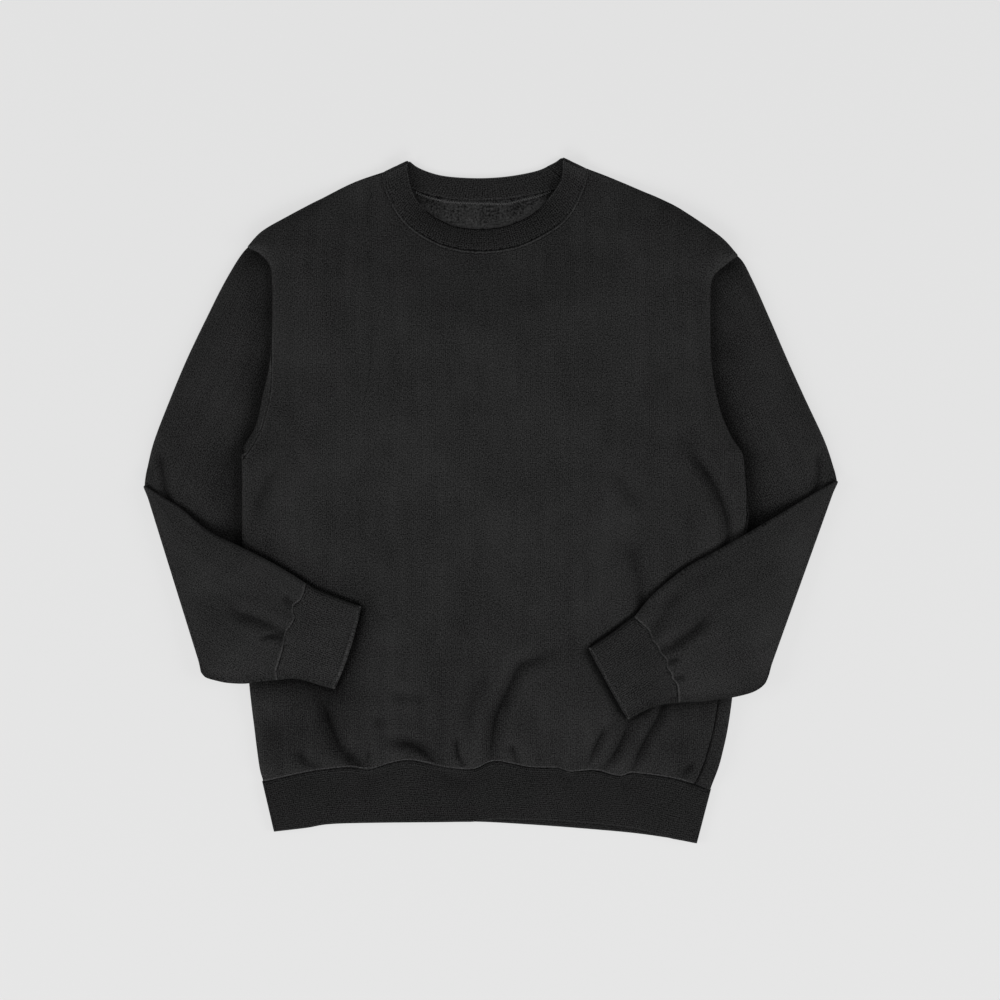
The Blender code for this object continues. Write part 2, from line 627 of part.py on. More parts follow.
def panel_points(layer, flat):
    """Folds the flat points of a panel into place. Returns its middle surface and the outward direction."""
    x, y = flat.T.copy()
    share = np.ones(len(x))
    sign = np.full(len(x), float(layer))
    outward = np.zeros((len(x), 3))
    meeting = np.zeros(len(x))  # 1 where front and back meet halfway, at the shoulder seam
    for side in (-1, 1):
        fold = fold_line(layer, side, y)
        distance = np.where(np.isnan(fold), np.inf, side * (fold - x))
        near = distance < ROLL
        inset, rolled = roll_share(distance[near])
        sign[near] *= np.where(distance[near] < 0, -1, 1)
        x[near] = fold[near] - side * inset
        share[near] *= rolled
        outward[near, 0] = side * np.sqrt(1 - rolled**2)
        top = shoulder_y(side, x)
        near = (side * x > SHOULDER_START) & (top - y < ROLL)
        beside_head = smoothstep((side * UPPER_SLEEVE[side][0][0] - side * x[near]) / MEETING_RUN)
        inset, rolled = roll_share(top[near] - y[near])
        y[near] = top[near] - inset
        share[near] *= rolled
        outward[near, 1] = np.sqrt(1 - rolled**2)
        meeting[near] = beside_head
    plan = np.column_stack([x, y])
    front, back = front_height(plan), back_height(plan)
    drop = (1 - share) * (BODY_SPLIT + meeting * (front - back - BODY_SPLIT)) / 2
    outward[:, 2] = sign * share
    outward /= np.linalg.norm(outward, axis=1, keepdims=True)
    return np.column_stack([plan, np.where(sign > 0, front - drop, back + drop)]), outward


def thickened(middle, outward, faces, wall):
    """A closed solid from a middle surface: both its sides and the strip round its cut edge."""
    count = len(middle)
    points = np.vstack([middle + outward * wall / 2, middle - outward * wall / 2])
    edges = {(a, b) for face in faces for a, b in zip(face, (*face[1:], face[0]))}
    rim = [(b, a, a + count, b + count) for a, b in edges if (b, a) not in edges]
    return points, faces + [tuple(k + count for k in reversed(face)) for face in faces] + sorted(rim)


def make_panel(layer, name):
    """Front (layer 1) or back (layer -1): its flat outline filled with triangles, folded into place and thickened."""
    outline, rolled = panel_outline(layer)
    row_step = PANEL_STEP * math.sqrt(3) / 2
    rows = []
    for row in range(int(PANEL_HEIGHT / row_step)):
        xs = np.arange(-HALF_WIDTH + PANEL_STEP / 2 * (row % 2), HALF_WIDTH, PANEL_STEP)
        rows.append(np.column_stack([xs, np.full(len(xs), NECK_Y - row * row_step)]))
    lattice = np.vstack(rows)
    lattice = lattice[signed_distance(lattice, outline) > 0.5 * PANEL_STEP]
    for side in (-1, 1):
        fold = fold_line(layer, side, lattice[:, 1])
        lattice = lattice[np.isnan(fold) | (side * (fold - lattice[:, 0]) > ROLL + 0.4 * PANEL_STEP)]
    points = [tuple(point) for point in np.vstack([outline, rolled, lattice])]
    boundary = [list(range(len(outline)))]
    flat, _, faces, *_ = delaunay_2d_cdt(points, [], boundary, 1, 1e-4)
    flat = np.array([tuple(point) for point in flat])
    faces = [tuple(face) for face in faces]
    points, faces = thickened(*panel_points(layer, flat), faces, FLEECE)
    obj = add_object(name, "fleece", points, faces)
    turn_outwards(obj)
    return obj


# ---------------------------------------------------------------- the garment
def main():
    for obj in list(bpy.data.objects):
        bpy.data.objects.remove(obj)
    make_panel(1, "front")
    make_panel(-1, "back")
    for side, end in ((-1, "left"), (1, "right")):
        make_sleeve(side, f"sleeve_{end}")
        make_cuff(side, f"cuff_{end}")
    make_hem()
    make_collar()


main()
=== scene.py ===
# %% [markdown]
# # A crewneck sweatshirt, laid flat
# Every piece here is cloth. A real one starts as a flat cut piece, so each piece starts as a flat grid from
# bmesh, and a function moves its vertices to where the cloth lies: round the folded sides, down into seams,
# up over the layers below. Lengths are in millimetres until a mesh is made, where they turn into Blender's
# metres.

# %% Load the fixed frame
import math

import bmesh
import bpy
import numpy as np
from mathutils import Matrix, Vector
from mathutils.bvhtree import BVHTree


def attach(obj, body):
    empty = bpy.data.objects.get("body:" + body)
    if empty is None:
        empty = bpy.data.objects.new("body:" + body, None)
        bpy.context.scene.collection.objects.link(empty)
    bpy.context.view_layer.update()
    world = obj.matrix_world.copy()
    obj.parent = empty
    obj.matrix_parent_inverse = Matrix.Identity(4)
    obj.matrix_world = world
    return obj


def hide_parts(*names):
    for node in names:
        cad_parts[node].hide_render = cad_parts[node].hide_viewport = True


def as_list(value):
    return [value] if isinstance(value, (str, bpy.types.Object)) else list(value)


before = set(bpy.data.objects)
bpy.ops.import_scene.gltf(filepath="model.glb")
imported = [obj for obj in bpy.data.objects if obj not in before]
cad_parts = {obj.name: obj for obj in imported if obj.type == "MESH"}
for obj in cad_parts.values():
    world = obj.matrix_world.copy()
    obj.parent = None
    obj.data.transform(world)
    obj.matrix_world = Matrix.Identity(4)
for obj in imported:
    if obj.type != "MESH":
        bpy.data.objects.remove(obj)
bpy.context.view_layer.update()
MM = 0.001
scene = bpy.context.scene
print("frame:", sorted(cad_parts))

# %% [markdown]
# ## Camera
# Clothes laid flat are looked at from straight above. A long lens from far away keeps the raised layers
# from growing, so the outline stays true. The picture is square and 1070 mm wide at the height of the
# cloth.

# %% Camera
PICTURE_WIDTH = 1070.0
PICTURE_CENTRE = (10.45, 0.93)
CLOTH_HEIGHT = 8.0
LENS = 90.0
SENSOR = 36.0

camera = bpy.data.objects.new("camera", bpy.data.cameras.new("camera"))
camera.data.lens = LENS
camera.data.sensor_width = SENSOR
distance = PICTURE_WIDTH * LENS / SENSOR + CLOTH_HEIGHT
camera.location = Vector((*PICTURE_CENTRE, distance)) * MM
camera.data.clip_end = 20
scene.collection.objects.link(camera)
scene.camera = camera
print("camera height", round(distance), "mm")

# %% [markdown]
# ## Light
# Three wide soft lamps stand low, at the hem end and on both sides, so that creases and the edges of layers
# throw soft shades. Nothing stands at the neck end, where those shades fall. The sky fills the rest.

# %% Light
SKY = 0.27
# Each lamp: name, place in metres, width and power.
LAMPS = (
    ("hem_end_lamp", (0.0, -3.4, 2.0), 3.2, 82),
    ("left_lamp", (-3.4, -0.4, 1.7), 2.6, 64),
    ("right_lamp", (3.4, -0.4, 1.7), 2.6, 64),
)
LAMP_DEPTH = 1.4
scene.view_settings.view_transform = "Standard"
world = bpy.data.worlds.new("studio")
world.use_nodes = True
world.node_tree.nodes["Background"].inputs["Color"].default_value = (1, 1, 1, 1)
world.node_tree.nodes["Background"].inputs["Strength"].default_value = SKY
scene.world = world

for name, place, width, power in LAMPS:
    lamp = bpy.data.objects.new(name, bpy.data.lights.new(name, "AREA"))
    lamp.data.shape = "RECTANGLE"
    lamp.data.size = width
    lamp.data.size_y = LAMP_DEPTH
    lamp.data.energy = power
    lamp.location = place
    lamp.rotation_euler = (-Vector(place)).to_track_quat("-Z", "Y").to_euler()
    scene.collection.objects.link(lamp)
print("lamps:", [name for name, *_ in LAMPS])

# %% [markdown]
# ## Sums on sockets
# A finish is built from small sums. This class wraps a node's output, so that `a * 2 + b` adds Math nodes.

# %% Sums on sockets
class Value:
    def __init__(self, finish, socket):
        self.finish, self.socket = finish, socket

    def math(self, operation, *values):
        return self.finish.node("ShaderNodeMath", {"operation": operation}, dict(enumerate(values)))

    def __add__(self, other):
        return self.math("ADD", self, other)

    def __sub__(self, other):
        return self.math("SUBTRACT", self, other)

    def __mul__(self, other):
        return self.math("MULTIPLY", self, other)

    __radd__ = __add__

    def sine(self):
        return self.math("SINE", self)

    def clamped(self):
        return self.finish.node("ShaderNodeClamp", {}, {0: self})


class Finish:
    """A material and the one way to add a node to it."""

    def __init__(self, name):
        self.material = bpy.data.materials.new(name)
        self.material.use_nodes = True
        self.tree = self.material.node_tree
        self.shader = self.tree.nodes["Principled BSDF"]

    def node(self, kind, settings, sockets, output=0):
        made = self.tree.nodes.new(kind)
        for key, value in settings.items():
            setattr(made, key, value)
        for key, value in sockets.items():
            if isinstance(value, Value):
                self.tree.links.new(value.socket, made.inputs[key])
            else:
                made.inputs[key].default_value = value
        return Value(self, made.outputs[output])

    def set(self, **sockets):
        for key, value in sockets.items():
            socket = self.shader.inputs[key.replace("_", " ")]
            if isinstance(value, Value):
                self.tree.links.new(value.socket, socket)
            else:
                socket.default_value = value
        return self.material

    def noise(self, place, size, detail=2.0, roughness=0.5):
        """Noise from 0 to 1 with lumps about this many millimetres across."""
        sockets = {"Vector": place, "Scale": 1 / size, "Detail": detail, "Roughness": roughness}
        return self.node("ShaderNodeTexNoise", {}, sockets)

    def mixed(self, share, first, second):
        return self.node("ShaderNodeMix", {"data_type": "RGBA"}, {0: share, 6: first, 7: second}, output=2)


def grey(level):
    """A linear colour from an sRGB grey of 0 to 255."""
    linear = ((level / 255 + 0.055) / 1.055) ** 2.4
    return (linear, linear, linear, 1)


# %% [markdown]
# ## Finishes of the cloth
# The fleece is a fine jersey, dyed black after sewing and then washed: upright wales, a fuzzy grain, pale
# lint, broad soft patches, and edges worn paler where a seam stands up. The same attribute that carries the
# wear also paints shade into the colour in crease troughs and hollows, and paints light on crease ridges and
# in a few other places. The ribbing is the same yarn, smoother and darker. The pattern follows each piece's
# own map of the cloth, which is in metres across and along its wales.

# %% Finishes of the cloth
BASE_TONE = 0.33  # how far unworn cloth is from the dark grey to the pale one
LINT_TONE = 0.35
LINT_SIZE, LINT_FROM = 1.6, 0.74
PATCH_SIZE, STREAK_SIZE = 90.0, 11.0
WEAR_AND_SHADING_TONE, WEAR_AND_SHADING_GRAIN = 0.75, 1.2
BUMP_DEPTH = 0.35


def knit(name, dark, pale, wale, course, wale_lift, course_lift, grain_size, grain, patches, shine=0.0):
    """A knitted cloth between two greys. wale and course are the spacings of its upright and level lines."""
    finish = Finish(name)
    cloth = finish.node("ShaderNodeUVMap", {"uv_map": "cloth"}, {})
    place = finish.node("ShaderNodeVectorMath", {"operation": "SCALE"}, {0: cloth, "Scale": 1 / MM})
    across = finish.node("ShaderNodeSeparateXYZ", {}, {0: place})
    along = finish.node("ShaderNodeSeparateXYZ", {}, {0: place}, output=1)
    sway = finish.noise(place, 9.0) - 0.5
    wales = (across * (2 * math.pi / wale) + sway * 3.0).sine()
    courses = (along * (2 * math.pi / course) + sway * 4.0).sine()
    grains = finish.noise(place, grain_size, detail=1.5, roughness=0.7) - 0.5
    lint = ((finish.noise(place, LINT_SIZE, detail=0.0) - LINT_FROM) * 9.0).clamped()
    washed = finish.noise(place, PATCH_SIZE, detail=6.0, roughness=0.66) - 0.5
    drawn = finish.node("ShaderNodeVectorMath", {"operation": "MULTIPLY"}, {0: place, 1: (1, 0.12, 1)})
    streaks = finish.noise(drawn, STREAK_SIZE) - 0.5
    # This attribute holds wear, and also painted shade in creases and hollows and painted light in a few
    # places.
    worn_and_shaded = finish.node("ShaderNodeAttribute", {"attribute_name": "wear_and_shading"}, {}, output=2)
    tone = BASE_TONE + grains * grain + wales * wale_lift + courses * course_lift
    tone = tone + (washed + streaks * 0.3) * patches
    tone = tone + lint * LINT_TONE + worn_and_shaded * (WEAR_AND_SHADING_TONE + grains * WEAR_AND_SHADING_GRAIN)
    colour = finish.mixed(tone.clamped(), grey(dark), grey(pale))
    height = grains * 0.5 + wales * 0.16 + courses * 0.10
    bump = finish.node("ShaderNodeBump", {}, {"Strength": 0.5, "Distance": BUMP_DEPTH * MM, "Height": height})
    material = finish.set(Base_Color=colour, Normal=bump, Roughness=0.92)
    finish.shader.inputs["Specular IOR Level"].default_value = shine
    return material


FLEECE_OUT = knit("fleece_outside", 14, 70, 2.15, 1.7, 0.05, 0.03, 1.35, 1.75, 0.42)
FLEECE_IN = knit("fleece_inside", 14, 70, 2.6, 2.6, 0.0, 0.0, 2.4, 1.9, 1.35)
RIB_COLLAR = knit("collar_ribbing", 7, 60, 2.3, 2.2, 0.11, 0.09, 1.3, 2.3, 0.3)
RIB_HEM = knit("hem_ribbing", 8, 60, 2.3, 2.3, 0.05, 0.11, 1.3, 1.9, 0.3)
RIB_CUFF = knit("cuff_ribbing", 12, 72, 2.2, 1.9, 0.1, 0.04, 1.3, 1.9, 0.4)
THREAD = knit("thread", 30, 84, 1.0, 0.6, 0.0, 0.2, 0.8, 0.6, 0.0, shine=0.25)
OVERLOCK = knit("overlock_thread", 62, 120, 1.0, 0.6, 0.0, 0.2, 0.8, 0.6, 0.0, shine=0.25)
print("finishes:", len(bpy.data.materials))

# %% [markdown]
# ## Floor
# The floor is one big pale plane. It glows a little, which keeps the shade round the cloth faint.

# %% Floor
def new_object(name, bm, finishes, suffix=""):
    """Turns a bmesh into an object with these finishes."""
    mesh = bpy.data.meshes.new(name)
    bm.to_mesh(mesh)
    bm.free()
    for finish in finishes:
        mesh.materials.append(finish)
    made = bpy.data.objects.new(name + suffix, mesh)
    scene.collection.objects.link(made)
    return made


floor_finish = Finish("pale_floor")
floor_finish.set(Base_Color=grey(108), Roughness=0.9, Emission_Color=(1, 1, 1, 1), Emission_Strength=0.63)
bm = bmesh.new()
bmesh.ops.create_grid(bm, x_segments=1, y_segments=1, size=30)
floor = new_object("floor", bm, [floor_finish.material])
print("floor: 60 m square")

# %% [markdown]
# ## Plane curves
# Seams and edges are smooth curves through a few points. These helpers make them, read a point at a share
# of their length, and measure how far other points are from them.

# %% Plane curves
CENTRING = np.array((0.29, -0.14, 0.0))  # brings the middle of the outline to the origin
SIDES = (-1, 1)  # left and right


def curve(table):
    """A Catmull-Rom curve through the rows of a table, as close points."""
    rows = np.array(table, float)
    ends = np.vstack([2 * rows[0] - rows[1], rows, 2 * rows[-1] - rows[-2]])
    t = np.linspace(0, 1, 12, endpoint=False)[:, None]
    parts = []
    for a, b, c, d in zip(ends, ends[1:], ends[2:], ends[3:]):
        parts.append(b + 0.5 * t * (c - a + t * (2 * a - 5 * b + 4 * c - d + t * (3 * (b - c) + d - a))))
    return np.vstack([*parts, rows[-1:]])


def arc_lengths(line):
    return np.concatenate([[0], np.cumsum(np.linalg.norm(np.diff(line, axis=0), axis=1))])


def point_at(line, shares, columns=2):
    """Points at shares of a line's length, which is measured over its first columns."""
    run = arc_lengths(line[:, :columns])
    return np.stack([np.interp(np.asarray(shares) * run[-1], run, column) for column in line.T], axis=-1)


def spaced(table, count, columns=2):
    """Evenly spaced points of the curve through a table's rows."""
    return point_at(curve(table), np.linspace(0, 1, count), columns)


def unit(vector):
    return vector / np.linalg.norm(vector)


def other_coordinate(table, known, key=0):
    """The other coordinate of a curve at the known values of coordinate `key`."""
    line = curve(table)
    order = np.argsort(line[:, key])
    return np.interp(known, line[order, key], line[order, 1 - key])


def smoothstep(x):
    x = np.clip(x, 0, 1)
    return x * x * (3 - 2 * x)


def hump(distance, width):
    """1 at a distance of 0, and soon nothing past the width, to both sides."""
    return np.exp(-((distance / width) ** 2))


def nearest_on(points, line):
    """Distance to a line, and the share of its length at the nearest place."""
    run = arc_lengths(line)
    best, share = np.full(len(points), np.inf), np.zeros(len(points))
    for a, b, at in zip(line, line[1:], run):
        step = b - a
        t = np.clip((points - a) @ step / max(step @ step, 1e-9), 0, 1)
        away = ((points - a - t[:, None] * step) ** 2).sum(axis=1)
        closer = away < best
        best = np.where(closer, away, best)
        share = np.where(closer, at + t * np.linalg.norm(step), share)
    return np.sqrt(best), share / run[-1]


def away_from(points, line):
    return nearest_on(points, line)[0]


def depth_inside(points, outline):
    """Distance to a closed outline, positive inside it."""
    closed = np.vstack([outline, outline[:1]])
    inside = np.zeros(len(points), bool)
    for (ax, ay), (bx, by) in zip(closed, closed[1:]):
        crosses = (ay > points[:, 1]) != (by > points[:, 1])
        height = by - ay if by != ay else 1e-9
        inside ^= crosses & (points[:, 0] < ax + (points[:, 1] - ay) / height * (bx - ax))
    return np.where(inside, 1, -1) * away_from(points, closed)


def graded(length, step, start=True, end=True, fine=(0.7, 1.5, 2.4, 3.6, 5.2, 7.4)):
    """Positions along a length that crowd together at its ends, where seams and folds are."""
    head = [0, *fine] if start else [0]
    tail = [length - x for x in reversed([0, *fine] if end else [0])]
    middle = np.linspace(head[-1], tail[0], max(2, round((tail[0] - head[-1]) / step) + 1))
    return np.concatenate([head[:-1], middle, tail[1:]])


def ripple(x, y, length):
    """Soft unevenness from -1 to 1: sine waves in several directions."""
    total = 0
    for k in range(6):
        turn, size = 2.4 * k + 0.7, length * (0.6 + 0.17 * k)
        total = total + np.sin((x * math.cos(turn) + y * math.sin(turn)) / size * 2 * math.pi + 1.9 * k)
    return total / 4


# %% [markdown]
# ## Outlines
# The cut pieces meet along these curves of x and y, in millimetres from the middle of the garment. Left is
# -X, and the neck is at +Y. The body's side is its folded edge. The side seams sit a little way round from
# it, because the body is twisted.

# %% Outlines
SHOULDER = {
    -1: ((-113, 353.5), (-146, 342), (-180, 325), (-214, 307), (-244, 289.5), (-260.5, 272)),
    1: ((103.5, 356.5), (126, 348), (157, 335), (187, 322), (210, 309), (246, 283.5), (265, 263)),
}
SIDE = {
    -1: (
        (-260.5, 272), (-247.5, 265.5), (-237, 253.5), (-234, 236), (-234, 183), (-237, 145), (-244.5, 110),
        (-251, 81), (-260.5, 64), (-266, 52), (-266, 30), (-265.5, -50), (-262.5, -117), (-258.5, -194),
        (-249, -277), (-244, -299.5),
    ),
    1: (
        (265, 263), (251, 252.5), (239, 241), (236, 223.5), (236, 172), (238, 136), (245.5, 98.5),
        (255, 74), (263, 60), (270, 49), (273, 20), (276, -15), (275, -32), (259, -209),
        (248, -273), (236, -308),
    ),
}  # fmt: skip
ARMPIT = {-1: (-265, 46), 1: (270.5, 47)}
# How far round from the folded edge the side seams sit: y and distance.
TWIST = ((49, 0), (20, 0.6), (-20, 2.5), (-210, 14), (-309, 19))
ARMHOLE_SEAM_LEFT = (
    (-259.5, 271), (-247, 264.5), (-236.5, 252.5), (-233.2, 236), (-233, 183), (-233.5, 129), (-235, 110),
    (-238, 97), (-244, 76), (-253, 59), (-263, 46), (-258, 20), (-249, -30), (-243, -110), (-238, -200),
    (-222, -296),
)  # fmt: skip

HEM_SEAM = (
    (-243.5, -300.5), (-222, -295.5), (-194, -289.5), (-157, -285), (-131, -287), (-105, -279.5),
    (-83, -277.5), (-53, -284), (-21, -287), (-3, -280), (11, -278.5), (41, -284.5), (71, -285.5),
    (87, -289.5), (111, -288), (137.5, -294), (153.5, -291), (197, -297), (235, -309),
)  # fmt: skip
HEM_EDGE = (
    (-231, -354), (-197, -350), (-163, -345.5), (-60, -344), (-9, -344), (59, -348), (128, -353.5),
    (162, -357), (196, -362), (220, -366.5),
)  # fmt: skip
# How much shorter than the back the hem's front is: x and distance.
HEM_SHORT = ((-20, 0), (10, 4), (60, 6), (120, 6.5), (160, 5), (195, 0))

NECK_SEAM_FRONT = (
    (-114, 353), (-113, 341), (-108, 327), (-99.5, 310), (-87.5, 295.5), (-72, 284), (-53.5, 274.7),
    (-33, 269.4), (-11, 267.4), (11.5, 269), (34, 274.4), (56, 285), (75, 297.5), (87, 312), (95.5, 329),
    (101, 345), (103.5, 356),
)  # fmt: skip
NECK_EDGE_FRONT = (
    (-90, 364), (-89.5, 350), (-82, 327.5), (-74, 316.5), (-64, 307), (-52, 300), (-38, 294), (-19.5, 291.5),
    (-2, 291.5), (18, 295), (35.5, 302), (49, 310.5), (59.5, 321), (70, 334.5), (77, 348), (79, 367.5),
)  # fmt: skip
NECK_SEAM_BACK = (
    (-114, 353), (-102, 342.5), (-84, 335), (-69, 330), (-52, 326), (-33, 323.5), (-9, 323), (16.5, 324),
    (42, 328.5), (68, 334.5), (90.5, 344.5), (103.5, 356),
)  # fmt: skip
NECK_EDGE_BACK = (
    (-90, 364), (-72, 354.5), (-52, 348.5), (-26, 346), (-0.5, 346), (25, 348.5), (51, 354), (66, 361),
    (79, 367.5),
)  # fmt: skip

# Sleeve sections: outer edge x y, under edge x y, and the bow of the section towards the body.
UPPER_SLEEVE = {
    -1: (
        (-243, 280, -228, 100, 16), (-262, 269, -226, 80, 16), (-283, 236.5, -221, 40, 10),
        (-304.5, 194, -215, -5, 5), (-325, 151, -213, -55, 0), (-343, 108, -222, -105, 0),
        (-359.5, 65, -247, -147, 0), (-367, 36, -281, -175, 0),
    ),
    1: (
        (247, 270, 231, 100, 16), (266.5, 260, 229, 78, 16), (280, 236.5, 224, 38, 10),
        (299, 194, 217, -10, 5), (317.5, 151, 211, -60, 0), (337, 108, 216, -107, 0),
        (357, 65, 238, -147, 0), (367, 36, 268, -180, 0),
    ),
}  # fmt: skip
ELBOW_CREASE = {-1: ((-370.8, 15.4), (-309, -183.8)), 1: ((371.3, 20.6), (297, -187))}
FOREARM = {
    -1: (
        (-351, 3, -303.5, -188.3, 0), (-332, -8.5, -290, -191.8, 0), (-302, -32.5, -279, -193.5, 0),
        (-266, -50, -262, -194, 0), (-234, -66, -247, -192, -2), (-213.5, -78, -238, -191, -4),
        (-196, -89, -227, -190, -6),
    ),
    1: (
        (351, 10, 291.5, -196.2, 0), (322.5, -7, 280, -203.2, 0), (273, -36, 262, -208, 0),
        (240, -54.5, 244, -211, -2), (207, -73, 230, -213, -4), (174, -100.5, 214, -214, -5),
        (154, -124.5, 200.5, -214.5, -5),
    ),
}  # fmt: skip
CUFF = {
    -1: (
        (-196, -89, -227, -190, -6), (-188, -94.5, -212, -188.5, -5), (-174, -100.5, -200, -190, -2),
        (-157, -107, -184, -195, 1), (-140.5, -113, -168, -199.5, 3),
    ),
    1: (
        (154, -124.5, 200.5, -214.5, -5), (143, -132, 189, -215.5, -3), (131, -141.5, 176, -218, -1),
        (119, -149.5, 162, -224, 0), (107, -157.5, 148, -232, 1),
    ),
}  # fmt: skip

# The seams between sleeves and cuffs, from the top edge down: the gathers make them wavy.
CUFF_SEAM = {
    -1: (
        (-197, -88.5), (-199, -98), (-203, -106), (-209, -111), (-210, -119), (-208, -123), (-212, -132),
        (-217, -140), (-221, -156), (-225, -170), (-228, -180), (-227, -190),
    ),
    1: (
        (154, -124.5), (163, -132), (168, -137), (170.5, -143), (172.5, -149), (178, -154.5), (180.5, -162),
        (187, -169), (188, -177), (192.5, -183), (194, -190), (198.5, -194.5), (200, -203), (200.5, -214.5),
    ),
}  # fmt: skip

# %% [markdown]
# ## Creases
# Slack cloth doesn't lie smooth. Most of these creases start at a gathered seam, at the armpit or where a
# cuff presses on the body, and run out into nothing. Each one is a soft trough with a low ridge on both
# sides.

# %% Creases
# Each row: depth, width, height of its ridges, share of its depth at its start and at its end, its line.
BODY_CREASES = (
    (3.6, 6.2, 0.8, 0.05, 0.35, ((207, 57), (223, 39), (236, 20), (246, -1), (252, -24), (254, -47))),
    (1.2, 7.0, 0.0, 0, 0.3, ((194, 81), (213, 57), (236, 25))),
    (2.4, 8.0, 0.4, 0.4, 0, ((-226, 42), (-242, 15), (-248, -4), (-246, -25))),
    (1.0, 12.0, 0.0, 0, 0, ((167, 166), (182, 136), (195, 123))),
    (1.6, 10.0, 0.3, 0, 0.2, ((126, 41), (143, 20), (157, -1), (163, -13))),
    (2.4, 8.0, 0.4, 0, 0.8, ((145, -34), (151, -52), (157, -75), (161, -103))),
    (4.0, 7.5, 0.8, 0.1, 0.9, ((-188, -201), (-175, -227), (-164, -256), (-153, -271), (-142, -284))),
    (3.2, 5.5, 0.3, 0, 1, ((-154, -268), (-147, -278), (-141, -285))),
    (3.2, 5.0, 0.5, 0, 0.8, ((-209, -264), (-200, -275), (-185, -285))),
    (1.8, 6.0, 0.3, 0.2, 0.2, ((-125, -230), (-118, -235), (-114, -240))),
    (4.6, 6.5, 1.4, 0.2, 0.8, ((-109, -255), (-91, -258), (-79, -262), (-68, -270), (-60, -278))),
    (1.1, 6.0, 0.8, 0, 0, ((-111, -202), (-91, -207), (-64, -207))),
    (0.7, 2.0, 0.2, 0, 0.5, ((-131, -242), (-130, -275))),
    (2.8, 2.8, 0.4, 0, 1, ((-37, -249), (-35, -268), (-29, -282))),
    (1.5, 8.0, 0.4, 0, 0.2, ((-3, -160), (-11, -189), (-21, -215), (-28, -248))),
    (3.6, 7.0, 1.2, 0.1, 0.8,
     ((71, -158), (53, -165), (33, -174), (25, -188), (16, -207), (7, -225), (3, -245), (-1, -275))),
    (2.8, 3.4, 0.4, 0, 1, ((21, -257), (25, -269), (29, -279))),
    (1.2, 3.5, 0.2, 0, 1, ((51, -266), (53, -277))),
    (1.6, 2.8, 0.3, 0, 1, ((-130, -264), (-131, -284))),
    (1.4, 2.8, 0.3, 0, 1, ((-86, -266), (-90, -276))),
    (1.4, 3.0, 0.3, 0, 1, ((96, -274), (92, -288))),
    (1.4, 3.5, 0.2, 0, 1, ((67, -273), (73, -285))),
    (2.6, 4.5, 0.5, 0, 0.8, ((127, -234), (115, -255), (105, -280))),
    (3.2, 5.0, 0.6, 0.2, 0.8, ((149, -234), (141, -253), (133, -269), (119, -287))),
    (3.0, 4.8, 0.8, 0.8, 0.8, ((185, -220), (177, -236), (167, -253), (159, -269), (152, -286))),
    (2.6, 4.5, 0.4, 0, 0.8, ((219, -277), (211, -286), (205, -294))),
    (1.6, 16.0, 0.0, 0, 0.6, ((-240, -215), (-233, -250), (-225, -285))),
)
HEM_CREASES = (
    (1.0, 9.0, 0.0, 0, 0, ((-140, -287), (-126, -296), (-118, -302))),
    (1.3, 9.0, 0.0, 0.6, 0, ((-55, -286), (-38, -297), (-16, -300))),
    (1.0, 8.0, 0.0, 0.6, 0, ((75, -288), (84, -296), (92, -300))),
    (0.8, 8.0, 0.0, 0.6, 0, ((150, -296), (141, -306))),
)
SLEEVE_CREASES = {
    (-1, "upper"): ((2.6, 5.0, 0.8, 0.2, 0.8, ((-354, 58), (-350, 35), (-348, 19), (-346, 5))),),
    (1, "upper"): ((2.4, 4.5, 0.4, 0, 0.6, ((349, 60), (350, 34), (349, 12))),),
    (-1, "fore"): (
        (2.4, 3.5, 0.4, 0, 0.8, ((-221, -100), (-216, -104), (-210, -110))),
        (1.6, 17.0, 0.0, 0.6, 0, ((-296, -100), (-278, -106), (-262, -110))),
        (2.8, 6.5, 1.0, 0, 1, ((-282, -108), (-266, -119), (-246, -126), (-228, -135), (-219, -143))),
        (2.2, 2.8, 0.4, 0, 1, ((-248, -147), (-234, -143), (-219, -143))),
        (0.8, 3.0, 0.2, 0, 1, ((-236, -181), (-227, -181))),
    ),
    (1, "fore"): (
        (1.6, 6.5, 0.8, 1, 0, ((171, -143), (182, -121), (192, -104), (207, -90))),
        (3.2, 6.0, 0.8, 1, 0, ((180, -162), (198, -150), (215, -137), (227, -125), (234, -112))),
        (2.4, 3.2, 0.4, 1, 0, ((187, -172), (203, -165))),
        (2.2, 2.8, 0.4, 1, 0, ((193, -189), (209, -185))),
    ),
}


def relief(points, creases):
    """How far creases lower or raise the cloth at these points."""
    height = np.zeros(len(points))
    for depth, width, ridge, start, end, table in creases:
        line, reach = curve(table), 4 * width
        near = np.all((points > line.min(axis=0) - reach) & (points < line.max(axis=0) + reach), axis=1)
        if not near.any():
            continue
        away, share = nearest_on(points[near], line)
        strength = np.interp(share, (0, 0.3, 0.7, 1), (start, 1, 1, end))
        trough = 2.2 * depth * np.exp(-(((np.hypot(away, 0.8) - 0.8) / width) ** 1.2))
        height[near] += strength * (ridge * hump(away - 1.9 * width, width) - trough)
    return height


print("creases:", len(BODY_CREASES) + len(HEM_CREASES) + sum(map(len, SLEEVE_CREASES.values())))

# %% [markdown]
# ## Heights
# The back lies on the floor, but its sides rise over the sleeves that are tucked under it. The front lies
# on the back, puffs up where nothing holds it, and rolls down at its folded edges. The sleeves puff too,
# and the forearms lie on top of whatever is under them.

